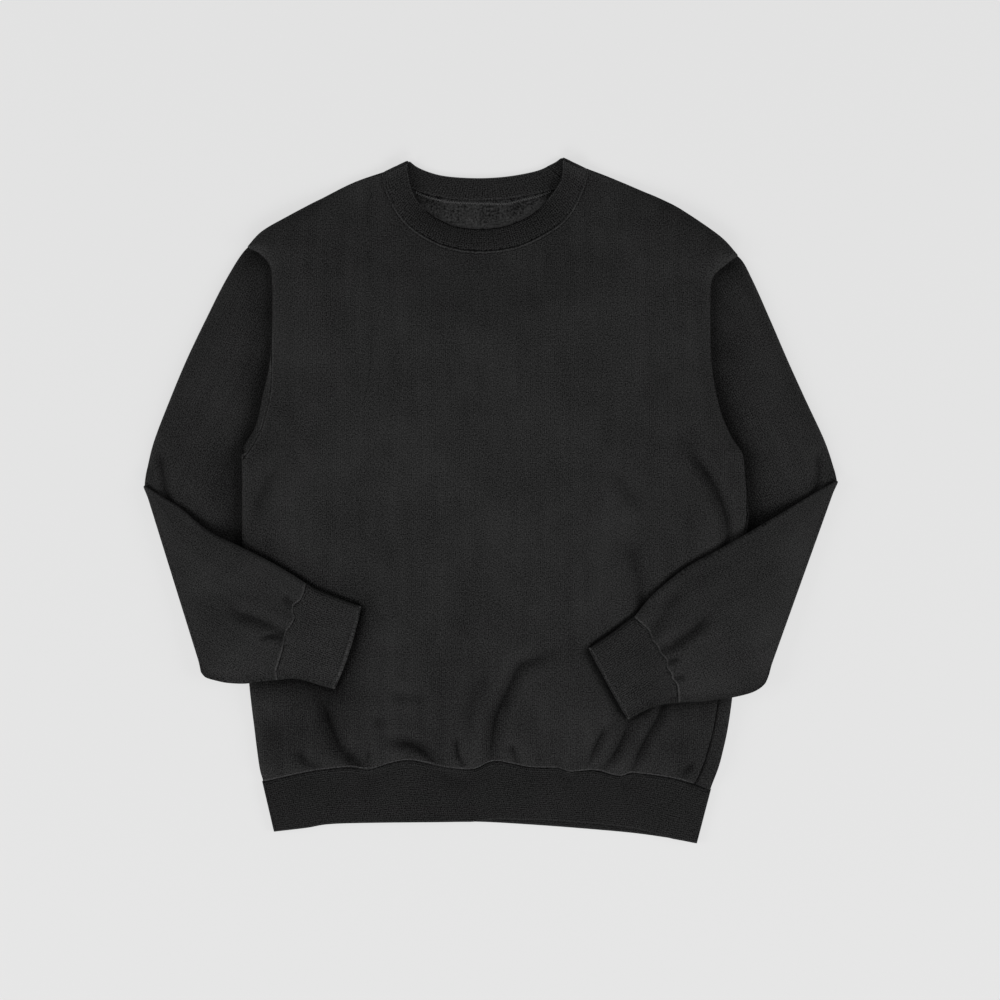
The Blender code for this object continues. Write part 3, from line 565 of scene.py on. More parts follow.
# %% Heights
WALL = 2.0
RIB_WALL = 2.6
SEAM_GAP = 0.3
SLEEVE_MIDDLE = 2.3
SLEEVE_TOP = 2 * SLEEVE_MIDDLE
BACK_LOW = WALL / 2
BACK_HIGH = SLEEVE_TOP + 2.0
BODY_SPLIT = 3.0
ELBOW_RADIUS = (SLEEVE_TOP + 1) / 2
ROLL = 2.4  # width of the rounded edge of a fold
SHOULDER_START = 100  # the shoulders lie further out than this
LIFT_RUN, LIFT_MARGIN = 80.0, 12.0  # how far before a layer below it the cloth starts to rise and has risen
ELBOW_RUN = 75.0  # how far beside the body the forearm starts to rise
BOW_POWER = 0.6  # below 1, so that a bowed section is full at both ends
SLACK_GAP = 2.0  # between a sleeve and what lies on it, or what it lies on
PUFF, SLEEVE_PUFF, FOREARM_PUFF = 12.5, 13.5, 7.6


def side_x(side, y):
    """The fold's x on one side, at the cloth's middle surface."""
    return other_coordinate(SIDE[side], y, key=1) - side * WALL / 2


def hem_y(x):
    return other_coordinate(HEM_SEAM, x)


def shoulder_y(side, x):
    return other_coordinate(SHOULDER[side], x) - WALL / 2


def twist_at(y):
    heights, distances = zip(*reversed(TWIST))
    return np.interp(y, heights, distances)


def armhole_x(side, y):
    """The back's armhole seam: the sleeve's first section, then straight to the armpit."""
    head_x, head_y, under_x, under_y, bow = UPPER_SLEEVE[side][0]
    share = np.clip((head_y - y) / (head_y - under_y), 0, 1)
    pit_x, pit_y = ARMPIT[side]
    below = np.clip((under_y - y) / (under_y - pit_y), 0, 1)
    bowed = side * bow * np.sin(math.pi * share) ** BOW_POWER
    return head_x + share * (under_x - head_x) - bowed + below * (pit_x - under_x)


def sleeve_outlines(side):
    """The upper sleeve on the floor, the part of it that the back lies on, and the forearm with its cuff."""
    rows = np.array(UPPER_SLEEVE[side], float)
    top, bottom = ELBOW_CREASE[side]
    ys = np.linspace(rows[0, 1], rows[0, 3], 10)
    under = spaced(rows[:, 2:4], 14)
    outer = spaced(rows[:, :2], 12)
    armhole = np.column_stack([armhole_x(side, ys), ys])
    far = side * 500
    fore = np.array([*FOREARM[side], *CUFF[side][1:]], float)
    return (
        np.vstack([armhole, under[1:], [bottom], [top], outer[::-1]]),
        np.vstack([under, [bottom], [(far, bottom[1])], [(far, rows[0, 3])]]),
        np.vstack([[top], fore[:, :2], fore[::-1, 2:4], [bottom]]),
    )


OUTLINES = [sleeve_outlines(side) for side in SIDES]
FOOTPRINT, UNDER_BODY, FOREARM_OUTLINE = (dict(zip(SIDES, pair)) for pair in zip(*OUTLINES))


def deepest(points, outlines):
    return np.maximum(*(depth_inside(points, outlines[side]) for side in SIDES))


def raised_share(points, outlines):
    """0 far from the outlines, 1 on them and close to them."""
    return smoothstep((deepest(points, outlines) + LIFT_RUN) / (LIFT_RUN - LIFT_MARGIN))


def rise(distance, steep, gentle):
    """0 at an edge and 1 far from it: half of the rise is steep and half is gentle, as slack cloth lies."""
    distance = np.maximum(distance, 0)
    return 1 - 0.5 * np.exp(-distance / steep) - 0.5 * np.exp(-distance / gentle)


def higher_of(a, b, blend):
    """The higher of two heights, with a soft change from one to the other."""
    return 0.5 * (a + b + np.sqrt((a - b) ** 2 + blend**2))


def climb(distance, run, power):
    """0 at an edge and 1 far from it, with a low hollow beside the edge."""
    return 1 - np.exp(-((np.maximum(distance, 0) / run) ** power))


def back_height(points):
    return BACK_LOW + (BACK_HIGH - BACK_LOW) * raised_share(points, UNDER_BODY)


def edge_depth(points):
    """How far inside the body's folded edges each point is: its sides and its shoulders."""
    x, y = points.T
    depth = np.minimum(x - side_x(-1, y), side_x(1, y) - x)
    for side in SIDES:
        depth = np.minimum(depth, np.where(side * x > SHOULDER_START, shoulder_y(side, x) - y, np.inf))
    return depth


NECK_HOLE = np.vstack([curve(NECK_SEAM_FRONT), [(103.5, 420), (-114, 420)]])


def puff(points):
    """How far slack lifts the front above flat cloth."""
    x, y = points.T
    held = rise(edge_depth(points), 4, 20) * smoothstep(-depth_inside(points, NECK_HOLE) / 95)
    free = 0.12 + 0.88 * rise(-deepest(points, FOREARM_OUTLINE) - 1, 5, 22)
    above_hem = rise(y - hem_y(x), 5, 20)
    return (PUFF + 1.1 * ripple(x, y, 150)) * held * free * above_hem


def front_height(points):
    apart = BODY_SPLIT + smoothstep(edge_depth(points) / 60)
    low = BACK_LOW + BODY_SPLIT
    over_sleeve = low + (BACK_HIGH - low) * raised_share(points, FOOTPRINT)
    flat = back_height(points) + apart
    return higher_of(flat, over_sleeve, 0.4) + puff(points)


def sleeve_puff(points, side):
    """How far slack lifts the upper layer of the upper sleeve, beside the body and above the forearm."""
    x, y = points.T
    outer = spaced(np.array(UPPER_SLEEVE[side])[:, :2], 30)
    edge = rise(away_from(points, outer), 8, 20)
    beside_body = climb(side * (x - side_x(side, y)), 22, 1.5)
    free = climb(2 - depth_inside(points, FOREARM_OUTLINE[side]), 19, 1.4)
    return (SLEEVE_PUFF + 0.8 * ripple(x, y, 90)) * edge * beside_body * free


def under_forearm(points):
    """The top of whatever the forearm and the cuff lie on."""
    x, y = points.T
    side = np.where(x < 0, -1, 1)
    edge = np.where(x < 0, side_x(-1, y), side_x(1, y))
    beyond = np.maximum(side * (x - edge), 0)
    inside = np.stack([np.where(beyond > 0, edge, x), y], axis=1)
    share = smoothstep(1 - beyond / ELBOW_RUN)
    return SLEEVE_TOP + share * (front_height(inside) + WALL / 2 - SLEEVE_TOP)


# %% [markdown]
# ## From a grid to cloth
# bmesh makes the flat grid. Its vertices then go to their places, the map of the cloth is written to them,
# and the two edges of a tube, which are sewn together, are merged. Solidify gives the cloth its thickness
# on both sides of that surface, and Bevel rounds the edges of the thick ribbing.

# %% From a grid to cloth
def lay_cloth(node, places, chart, wear_and_shading, finishes, wall=WALL, joined=True, soft_edge=0.0):
    """A sheet of cloth. Its points, its own map, and its wear together with painted shade and light are given
    row by row.
    """
    places, chart, wear_and_shading = map(np.array, (places, chart, wear_and_shading))
    rows, columns = places.shape[:2]
    bm = bmesh.new()
    bmesh.ops.create_grid(bm, x_segments=columns - 1, y_segments=rows - 1, size=0.5)
    at = np.rint((np.array([v.co.xy for v in bm.verts]) + 0.5) * (columns - 1, rows - 1)).astype(int)
    places, chart, wear_and_shading = (part[at[:, 1], at[:, 0]] for part in (places, chart, wear_and_shading))
    places = (places + CENTRING) * MM
    bm.verts.index_update()
    cloth_map = bm.loops.layers.uv.new("cloth")
    worn_and_shaded = bm.verts.layers.float.new("wear_and_shading")
    for vert, place, share in zip(bm.verts, places, wear_and_shading):
        vert.co = place
        vert[worn_and_shaded] = share
    for face in bm.faces:
        for loop in face.loops:
            loop[cloth_map].uv = chart[loop.vert.index] * MM
    if joined:
        bmesh.ops.remove_doubles(bm, verts=bm.verts, dist=1e-6)
        bmesh.ops.recalc_face_normals(bm, faces=bm.faces)
    for face in bm.faces:
        face.smooth = True
    piece = new_object(node, bm, finishes, "_cloth")
    solid = piece.modifiers.new("wall", "SOLIDIFY")
    solid.thickness = wall * MM
    solid.offset = 0
    solid.material_offset = len(finishes) - 1
    if soft_edge:
        bevel = piece.modifiers.new("soft_edge", "BEVEL")
        bevel.width = soft_edge * MM
        bevel.segments = 3
        bevel.limit_method = "ANGLE"
        bevel.angle_limit = math.radians(60)
    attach(piece, "root")
    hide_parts(node)
    area = sum(face.area for face in piece.data.polygons)
    print(f"{node}: {columns} x {rows} points, {area:.3f} m2 of cloth")
    return piece


def lay_rib(name, places, chart, wear_and_shading, finish, wall=RIB_WALL, soft_edge=0.9):
    return lay_cloth(name, places, chart, wear_and_shading, [finish], wall, soft_edge=soft_edge)


# %% [markdown]
# ## Front and back
# Each panel is a grid stretched between four edges: the hem seam, the two sides, and the shoulders with the
# neckline between them. A strip down each side carries on past the fold and goes round it. Rows and columns
# crowd together at the seams, so that the cloth can roll over there.

# %% Front and back
def wrap_distance(layer, side, y):
    """How far inside the fold a panel's side edge is. Less than 0 means that it goes round the fold."""
    goes_round = 2.6 if layer > 0 else 0.0
    twist = twist_at(y)
    if side * layer < 0:
        return -np.maximum(twist, goes_round) + SEAM_GAP / 2
    return np.where(y > 45, -goes_round, twist + SEAM_GAP / 2 - goes_round * smoothstep((y + 10) / 55))


# Patches painted a little paler or darker, and a painted shade where the cloth puckers at one armpit: x, y,
# size, how much paler.
TONE_PATCHES_AND_PUCKER_SHADE = (
    (-225, -262, 48, -0.12), (-150, -250, 40, -0.07), (205, -262, 42, -0.10), (-60, -262, 40, -0.05),
    (0, 120, 140, 0.02), (-263.8, 52.5, 2.4, -0.7), (-150, 290, 60, -0.06), (130, 305, 50, -0.04),
)  # fmt: skip
# How far the rows near the top edge are from it.
TOP_STAGE = (30.0, 24.0, 18.5, 14.0, 10.5, 7.6, 5.4, 3.8, 2.6, 1.8, 1.2, 0.7, 0.3, 0.0)
PANEL_LENGTH = 560
STRIP_COLUMNS = 24
STRIP_WIDTH = 26  # from a panel's side column to the fold
CROWDING = 0.24
HEM_GAP = 0.6
NECK_ENDS = np.array(((-114, 350), (103.5, 353)))
CREASE_SHADING = 0.026  # painted light and shade: how much paler a millimetre of a crease's ridge is made, and how much darker a millimetre of its trough


def side_lines(layer, side):
    """The line down a panel inside its fold and the line of its cut edge, from the hem to the shoulder."""
    ys = np.linspace(SIDE[side][-1][1] + 0.4, SIDE[side][0][1] - 1.0, 400)
    edge = side_x(side, ys) - side * wrap_distance(layer, side, ys)
    if layer > 0:
        left = other_coordinate(ARMHOLE_SEAM_LEFT, ys, key=1)
        xs = left if side < 0 else side_x(side, ys) - STRIP_WIDTH
    else:
        seam = armhole_x(side, ys) - side * 2 * SEAM_GAP
        edge = np.where(ys > ARMPIT[side][1], seam, edge)
        xs = np.where(ys > ARMPIT[side][1], seam, side_x(side, ys)) - side * STRIP_WIDTH
    to_shoulder = smoothstep((ys - 60) / (ys[-1] - 60)) * (shoulder_y(side, xs[-1]) - SEAM_GAP - ys[-1])
    to_hem = (1 - smoothstep((ys - ys[0]) / 120)) * (hem_y(xs[0]) + HEM_GAP - ys[0])
    return np.column_stack([xs, ys + to_shoulder + to_hem]), np.column_stack([edge, ys])


def neck_line(layer, inner, step):
    """The top edge of a panel at its columns, and the direction in which its rows leave it."""
    neck = curve(NECK_SEAM_FRONT if layer > 0 else NECK_SEAM_BACK)
    parts = []
    for side, end in ((-1, 0), (1, -1)):
        xs = np.linspace(inner[side][-1, 0], neck[end, 0], 60)
        parts.append(np.column_stack([xs, shoulder_y(side, xs) - SEAM_GAP]))
    parts = [parts[0], neck, parts[1][::-1]]
    lengths = [arc_lengths(part)[-1] for part in parts]
    spans = [graded(length, step) for length in lengths]
    line = np.vstack([point_at(part, span[1:] / span[-1]) for part, span in zip(parts, spans)])
    line = np.vstack([parts[0][:1], line])
    along = np.gradient(line, axis=0)
    lean = np.arctan2(-along[:, 1], along[:, 0])
    lean[: len(spans[0])] = 0
    lean[len(line) - len(spans[2]) :] = 0
    run = arc_lengths(line)
    weights = hump(run[:, None] - run[None], 36) * np.gradient(run)
    lean = (weights * lean).sum(axis=1) / weights.sum(axis=1)
    return line, -np.column_stack([np.sin(lean), np.cos(lean)]), run


def panel_grid(layer, step):
    """Flat points of a panel, row by row from the hem to the neck."""
    lines = {side: side_lines(layer, side) for side in SIDES}
    inner = {side: pair[0] for side, pair in lines.items()}
    top, direction, run = neck_line(layer, inner, step)
    rows = []
    tails = {side: arc_lengths(inner[side])[-1] for side in SIDES}
    for distance in TOP_STAGE:
        row = top + distance * direction
        for side, end, away in ((-1, 0, run), (1, -1, run[-1] - run)):
            wanted = point_at(inner[side], 1 - distance / tails[side])
            row = row + hump(away, 45)[:, None] * (wanted - row[end])
        rows.append(row)
    high = rows[0]
    u = (run / run[-1])[None, :, None]
    v = graded(PANEL_LENGTH, step, end=False)[:, None, None] / PANEL_LENGTH
    xs = np.linspace(inner[-1][0, 0], inner[1][0, 0], 300)
    low = point_at(np.column_stack([xs, hem_y(xs) + HEM_GAP]), u[0, :, 0])
    left, right = (
        point_at(inner[side], v[:, 0, 0] * (1 - TOP_STAGE[0] / tails[side]))[:, None] for side in SIDES
    )
    patch = (1 - v) * low + v * high + (1 - u) * left + u * right
    patch = patch - (1 - u) * ((1 - v) * low[0] + v * high[0]) - u * ((1 - v) * low[-1] + v * high[-1])
    patch = np.concatenate([patch, rows[1:]])
    relax_corners(patch, run)
    left, right = (side_strip(side, patch[:, end], lines[side][1]) for side, end in ((-1, 0), (1, -1)))
    grid = np.concatenate([left[:, ::-1], patch, right], axis=1)
    folded = np.clip(grid[0, :, 0], side_x(-1, grid[0, :, 1]), side_x(1, grid[0, :, 1]))
    bottom = hem_y(2 * folded - grid[0, :, 0]) + HEM_GAP - grid[0, :, 1]
    shift = bottom * (1 - smoothstep((grid[..., 1] - grid[0, :, 1]) / 60))
    for side, neck_end in zip(SIDES, NECK_ENDS):
        x, y = grid[-1].T
        lift = np.where(side * (x - neck_end[0]) > 0, shoulder_y(side, x) - SEAM_GAP - y, 0)
        shift = shift + lift * (1 - smoothstep((y - grid[..., 1]) / 40))
    for side, columns in ((-1, slice(0, STRIP_COLUMNS - 1)), (1, slice(1 - STRIP_COLUMNS, None))):
        x, y = grid[:, columns, 0], grid[:, columns, 1]
        last = 0 if side < 0 else -1
        away = [side * (side_x(side, row) - at) for row, at in ((y, x), (y[:, last], x[:, last]))]
        cut_y = y[:, last] + shift[:, columns][:, last]
        cut_away = side * (side_x(side, cut_y) - np.interp(cut_y, lines[side][1][:, 1], lines[side][1][:, 0]))
        inner_away = away[0].max(axis=1)
        share = (inner_away[:, None] - away[0]) / np.maximum(inner_away - away[1], 1e-6)[:, None]
        away = away[0] + share * (cut_away - away[1])[:, None]
        grid[:, columns, 0] = side_x(side, y + shift[:, columns]) - side * away
    grid[..., 1] += shift
    return grid


def relax_corners(patch, run):
    """Evens out the rows and columns near the two corners of the neckline, where they turn sharply."""
    across = np.diff(run)[None, :, None]
    along = np.linalg.norm(np.diff(patch, axis=0), axis=2).mean(axis=1)[:, None, None]
    pulls = 1 / across[:, :-1], 1 / across[:, 1:], 1 / along[:-1], 1 / along[1:]
    middle = patch[1:-1, 1:-1]
    away = np.stack([np.hypot(*(middle - neck_end).transpose(2, 0, 1)) for neck_end in NECK_ENDS])
    weight = hump(away.min(axis=0), 24)[..., None] * 0.8
    for _ in range(80):
        level = (patch[1:-1, :-2] * pulls[0] + patch[1:-1, 2:] * pulls[1]) / (pulls[0] + pulls[1])
        upright = (patch[:-2, 1:-1] * pulls[2] + patch[2:, 1:-1] * pulls[3]) / (pulls[2] + pulls[3])
        middle += weight * ((level + upright) / 2 - middle)


def side_strip(side, start, cut):
    """Columns from a panel's side column to its cut edge. They crowd together at the fold."""
    ends = np.interp(start[:, 1], (start[0, 1], start[-1, 1]), (cut[0, 1], cut[-1, 1]))
    from_fold = side * (side_x(side, start[:, 1]) - start[:, 0])
    cut_from_fold = side * (side_x(side, ends) - np.interp(ends, cut[:, 1], cut[:, 0]))
    shares = np.linspace(0, 1, STRIP_COLUMNS)[None, 1:]
    first, last = (np.sign(a) * np.log1p(CROWDING * np.abs(a)) for a in (from_fold, cut_from_fold))
    level = first[:, None] + shares * (last - first)[:, None]
    away = np.sign(level) * np.expm1(np.abs(level)) / CROWDING
    share = (from_fold[:, None] - away) / np.maximum(from_fold - cut_from_fold, 1e-6)[:, None]
    y = start[:, 1][:, None] + share * (ends - start[:, 1])[:, None]
    x = np.stack([side_x(side, row) for row in y]) - side * away
    return np.stack([x, y], axis=-1)


def fold_panel(layer, flat):
    """Folds flat points of a panel round its edges. Returns their places and how much each one faces up."""
    x, y = flat.T.copy()
    share, sign = np.ones(len(x)), np.full(len(x), float(layer))
    meeting = np.zeros(len(x))
    for side in SIDES:
        cut_open = (layer < 0) & (y > ARMPIT[side][1])
        away = np.where(cut_open, np.inf, side * (side_x(side, y) - x))
        near = away < ROLL
        turn = np.clip(np.abs(away[near]) / ROLL, 0, 1) * math.pi / 2
        past = np.abs(away[near])
        x[near] = side_x(side, y[near]) - side * np.where(past < ROLL, ROLL * (1 - np.cos(turn)), past)
        sign[near] *= np.where(away[near] < 0, -1, 1)
        share[near] *= np.sin(turn)
        top = shoulder_y(side, x)
        near = (side * x > SHOULDER_START) & (top - y < ROLL)
        turn = np.clip((top[near] - y[near]) / ROLL, 0, 1) * math.pi / 2
        y[near] = top[near] - ROLL * (1 - np.cos(turn))
        share[near] *= np.sin(turn)
        meeting[near] = smoothstep((side * UPPER_SLEEVE[side][0][0] - side * x[near]) / 15)
    plan = np.column_stack([x, y])
    front, back = front_height(plan), back_height(plan)
    drop = (1 - share) * (BODY_SPLIT + meeting * (front - back - BODY_SPLIT)) / 2
    return plan, np.where(sign > 0, front - drop, back + drop), sign * share


def seam_roll(away, height=0.6, width=1.2):
    """A seam's edge: the cloth rolls up beside it and dives into it."""
    return height * hump(away - width, width) - 1.5 * hump(away, 0.55)


def seam_wear(away):
    """A seam's groove stays dark, and the rolled edge beside it is rubbed pale."""
    return 0.65 * hump(away - 1.1, 0.55) - 0.5 * hump(away, 0.6)


def make_panel(name, layer, step):
    grid = panel_grid(layer, step)
    flat = grid.reshape(-1, 2)
    plan, height, facing = fold_panel(layer, flat)
    upward = np.clip(facing, 0, 1)
    neck = away_from(flat, curve(NECK_SEAM_FRONT if layer > 0 else NECK_SEAM_BACK))
    hem = np.abs(flat[:, 1] - hem_y(flat[:, 0]))
    wear_and_shading = seam_wear(hem)
    if layer > 0:
        folds = relief(plan, BODY_CREASES) * (0.4 + 0.6 * rise(hem, 3, 8)) + 0.35 * ripple(*plan.T, 34)
        lowest = np.where(facing > 0, back_height(plan) + WALL + SEAM_GAP, -9)
        height = np.maximum(height + upward * folds, lowest)
        # Painted shade in crease troughs and painted light on their ridges; the fold edges are worn paler.
        wear_and_shading += upward * (CREASE_SHADING * np.clip(folds, -9, 2) + 0.12 * hump(edge_depth(plan), 6))
        from_tip = np.min([np.hypot(*(flat - neck_end).T) for neck_end in NECK_ENDS], axis=0)
        groove = smoothstep((from_tip - 15) / 60)
        wear_and_shading += seam_wear(neck) - groove * 0.5 * hump(neck, 0.7) - 0.3 * hump(neck - 2.7, 0.6)
        wear_and_shading -= 0.06 * hump(neck, 16)
        armhole = away_from(flat, curve(ARMHOLE_SEAM_LEFT[:11]))
        height += upward * (seam_roll(neck) + seam_roll(hem, 0.9) + 0.9 * seam_roll(armhole, 0.8, 1.6))
        wear_and_shading += (0.6 * seam_wear(armhole) - 0.6 * hump(armhole, 0.7)) * upward
        # Paler and darker patches, and the painted shade of the armpit pucker.
        for x, y, size, paler in TONE_PATCHES_AND_PUCKER_SHADE:
            wear_and_shading += paler * hump(np.hypot(*(plan - (x, y)).T), size)
        # Painted shade on the body beside the forearms, stronger beside the left one.
        from_forearm = np.maximum(-deepest(plan, FOREARM_OUTLINE), 0)
        wear_and_shading -= np.where(plan[:, 0] < 0, 0.24, 0.07) * hump(from_forearm, 21) * upward
    else:
        by_collar = away_from(flat, curve(NECK_EDGE_FRONT)[40:-40])
        height = height + 1.9 * hump(by_collar, 14) * smoothstep(neck / 12)
        wear_and_shading += np.where(flat[:, 1] > 200, 0.03, -0.1)
        # Painted light on the fleece beside the front collar's edge, where the collar's shade falls; darker
        # along the back neck seam.
        wear_and_shading += 0.75 * hump(by_collar, 6) - 0.4 * hump(neck, 1.4)
    wear_and_shading.reshape(grid.shape[:2])[:, [0, -1]] -= 0.3
    places = np.column_stack([plan, height]).reshape(*grid.shape[:2], 3)
    finishes = (FLEECE_OUT, FLEECE_IN) if layer > 0 else (FLEECE_IN, FLEECE_OUT)
    return lay_cloth(name, places, grid, wear_and_shading.reshape(grid.shape[:2]), finishes, joined=False)


front = make_panel("front", 1, 3.3)
back = make_panel("back", -1, 5.0)
print("front box", [round(side / MM) for side in front.dimensions])

# %% [markdown]
# ## Sleeves
# A sleeve is one piece rolled into a tube and closed with a seam on its under edge. It lies flat on the
# floor from the shoulder to the elbow, turns over there, and its forearm comes back over the body.

# %% Sleeves
FINE_EDGE = (0.35, 0.9, 1.7, 3.0, 5.0, 7.6)
TUBE_RADIUS, ROLL_RADIUS = 1.3, 3.2  # of a tube's rounded edge, flat on the floor and lying on top
ELBOW_INSET = ELBOW_RADIUS + SLEEVE_MIDDLE
GRAIN_DOWN = (0.44, -0.9)  # along the wales of a hanging sleeve, outwards and down


def tube_columns(width, count, radius):
    """Positions across a flattened tube, over its top and back below, and their heights above its middle."""
    across = graded(width, (width - 2 * FINE_EDGE[-1]) / count, fine=FINE_EDGE)
    depth = np.clip(np.minimum(across, width - across) / radius, 0, 1)
    top = radius * np.sqrt(np.clip(1 - (1 - depth) ** 2, 0, 1))
    return np.concatenate([across, across[-2::-1]]), np.concatenate([top, -top[-2::-1]])


def tube_section(row, count, radius):
    """A row's section of a tube: shares of the way across, heights above its middle, and its width."""
    width = np.linalg.norm(row[2:4] - row[0:2])
    across, half = tube_columns(width, count, radius)
    return across / width, half, width


def across_plan(row, share, side):
    """The plan places of a section's points, on its bowed line."""
    plan = row[0:2] + share[:, None] * (row[2:4] - row[0:2])
    plan[:, 0] -= side * row[4] * np.sin(math.pi * np.clip(share, 0, 1)) ** BOW_POWER
    return plan


def elbow_crease(side):
    """The ends of the line along which a sleeve is folded, and the direction out of the fold."""
    top, bottom = (np.array(end, float) for end in ELBOW_CREASE[side])
    along = unit(bottom - top)
    return top, bottom, -side * np.array([along[1], -along[0]])


def unfolded(plan, half, kind, turned, side):
    """Where a point of a sleeve is on the flat cut piece: across its wales, then along them."""
    crease, _, out = elbow_crease(side)
    down = np.array(GRAIN_DOWN) * (side, 1)
    if kind == "turn":
        plan = plan + turned * out
    elif kind == "fore":
        plan = plan + (2 * ((crease - plan) @ out) + math.pi * ELBOW_RADIUS)[:, None] * out
    return np.column_stack([plan @ (down[1], -down[0]) - half, plan @ -down])


def forearm_puff(points, side, seam):
    """How far slack lifts the forearm's upper layer. It is full right up to the gathered cuff seam."""
    edge = rise(depth_inside(points, FOREARM_OUTLINE[side]), 16, 30)
    at_seam = rise(away_from(points, seam), 3, 14)
    return (FOREARM_PUFF + 0.8 * ripple(*points.T, 70)) * edge * (0.15 + 0.85 * at_seam)


def gather(side, share, seam_row, from_seam, reach):
    """How far the gathers move a section of the sleeve or the cuff, so that they meet at their wavy seam."""
    wavy = point_at(curve(CUFF_SEAM[side]), share)
    return (wavy - across_plan(seam_row, share, side)) * math.exp(-from_seam / reach)


def sleeve_height(kind, side, plan, half, radius, cuff_seam):
    """The heights of a section of the upper sleeve or the forearm. Its lower layer lies flat."""
    folds = relief(plan, SLEEVE_CREASES[side, kind])
    if kind == "upper":
        lift = higher_of(sleeve_puff(plan, side) + folds, 0.0, 1.0)
        return SLEEVE_MIDDLE - half + np.clip(-half / radius, 0, 1) * lift
    lift = higher_of(forearm_puff(plan, side, cuff_seam) + folds, 0.0, 1.0)
    seam = seam_roll(away_from(plan, cuff_seam), 1.0)
    return under_forearm(plan) + SLACK_GAP + radius + half + np.clip(half / radius, 0, 1) * (lift + seam)


def sleeve_wear_and_shade(kind, side, plan, share, width, cuff_seam):
    """Pale along the top edge and dark along the under edge; painted shade in creases, beside the body and
    above the forearm, and painted light on crease ridges.
    """
    wear_and_shading = 0.1 * hump(share * width, 5) - 0.17 * hump((1 - share) * width, 7)
    # Painted shade in crease troughs and painted light on their ridges.
    if kind != "turn":
        wear_and_shading += CREASE_SHADING * np.clip(relief(plan, SLEEVE_CREASES[side, kind]), -9, 2)
    if kind == "fore":
        wear_and_shading += seam_wear(away_from(plan, cuff_seam))
    if kind == "upper":
        # Painted shade on the upper sleeve beside the body's edge and beside the forearm.
        shade_by_body = 1 - climb(side * (plan[:, 0] - side_x(side, plan[:, 1])), 30, 2.2)
        shade_by_forearm = 1 - climb(-depth_inside(plan, FOREARM_OUTLINE[side]), 20, 2)
        wear_and_shading -= 0.19 * shade_by_body + 0.12 * shade_by_forearm + 0.02
    return wear_and_shading


def make_sleeve(side, name):
    top, bottom, out = elbow_crease(side)
    axis_row = np.array((*top, *bottom, 0))
    upper = spaced([*UPPER_SLEEVE[side], axis_row], 92, 4)[:-1]
    fore = point_at(curve([axis_row, *FOREARM[side]]), graded(170, 2.8, start=False) / 170, columns=4)[1:]
    last = np.array(FOREARM[side][-1], float)
    cuff_seam = spaced(CUFF_SEAM[side], 60)
    rings, charts, wear_and_shading_rows = [], [], []
    for kind, rows in (("upper", upper), ("turn", np.linspace(0, math.pi, 15)), ("fore", fore)):
        for row in rows:
            section = axis_row if kind == "turn" else row
            to_crease = np.linalg.norm(section[:2] + section[2:4] - top - bottom) / 2
            radius = TUBE_RADIUS + (ROLL_RADIUS - TUBE_RADIUS) * (kind == "fore") * smoothstep(to_crease / 70)
            share, half, width = tube_section(section, 56, radius)
            plan = across_plan(section, share, side)
            if kind == "fore":
                plan += gather(side, share, last, np.linalg.norm((row - last)[:2]), 16)
            flat, turned = plan, 0.0
            from_edge = np.minimum(share, 1 - share)[:, None] * width
            inset = ELBOW_INSET * (0.15 + 0.85 * smoothstep(from_edge / 14))
            if kind == "turn":
                turned = row * ELBOW_RADIUS
                turn = ELBOW_RADIUS + half
                plan = plan + (turn * math.sin(row) / ELBOW_INSET - 1)[:, None] * inset * out
                height = SLEEVE_MIDDLE + ELBOW_RADIUS - turn * math.cos(row)
            else:
                plan = plan - inset * math.exp(-to_crease / 15) * out
                height = sleeve_height(kind, side, plan, half, radius, cuff_seam)
            rings.append(np.column_stack([plan, height]))
            charts.append(unfolded(flat, half, kind, turned, side))
            wear_and_shading_rows.append(sleeve_wear_and_shade(kind, side, plan, share, width, cuff_seam))
    return lay_cloth(name, rings, charts, wear_and_shading_rows, (FLEECE_OUT, FLEECE_IN))


sleeves = {-1: make_sleeve(-1, "sleeve_left"), 1: make_sleeve(1, "sleeve_right")}

# %% [markdown]
# ## Cuffs
# A cuff is a band of ribbing folded double and sewn to the gathered end of the sleeve.

# %% Cuffs
UNDER_PEEK = 1.8  # how far the lower layer shows past the end of the upper one
CUFF_LENGTH = 55


def make_cuff(side, name):
    rows = point_at(curve(CUFF[side]), graded(CUFF_LENGTH, 2.6) / CUFF_LENGTH, columns=4)
    first, last = np.array(CUFF[side], float)[[0, -1]]
    seam = spaced(CUFF_SEAM[side], 60)
    end = across_plan(last, np.linspace(0, 1, 20), side)
    along = unit(last[:2] + last[2:4] - first[:2] - first[2:4])
    rings, charts, wear_and_shading_rows = [], [], []
    for row in rows:
        share, half, width = tube_section(row, 40, ROLL_RADIUS)
        plan = across_plan(row, share, side)
        plan += gather(side, share, first, np.linalg.norm((row - first)[:2]), 9)
        from_seam, from_end = away_from(plan, seam), away_from(plan, end)
        level = under_forearm(plan) + SLACK_GAP + ROLL_RADIUS + half
        lift = 2.6 * rise(np.minimum(share, 1 - share) * width, 10, 24) + 0.5 * ripple(*plan.T, 45)
        level += np.clip(half / ROLL_RADIUS, 0, 1) * (lift - 1.8 * hump(from_seam, 1.6))
        peek = UNDER_PEEK * (half < 0) * smoothstep(from_seam / 50)
        plan = plan + peek[:, None] * along
        rings.append(np.column_stack([plan, level]))
        charts.append(np.column_stack([arc_lengths(rings[-1]), from_seam]))
        wear_and_shading_rows.append(0.3 * hump(from_end, 1.2) - (0.01 if side < 0 else 0.06))
        wear_and_shading_rows[-1] -= 0.15 * hump((1 - share) * width, 6)
    return lay_rib(name, rings, charts, wear_and_shading_rows, RIB_CUFF)


cuffs = {-1: make_cuff(-1, "cuff_left"), 1: make_cuff(1, "cuff_right")}

# %% [markdown]
# ## Hem
# The hem is the same doubled ribbing, all round the body. Its front lies a little short of its back, so a
# line of the back shows below it.

# %% Hem
HEM_MIDDLE = 2.9
HEM_RADIUS = 1.6
HEM_HEIGHT = 62


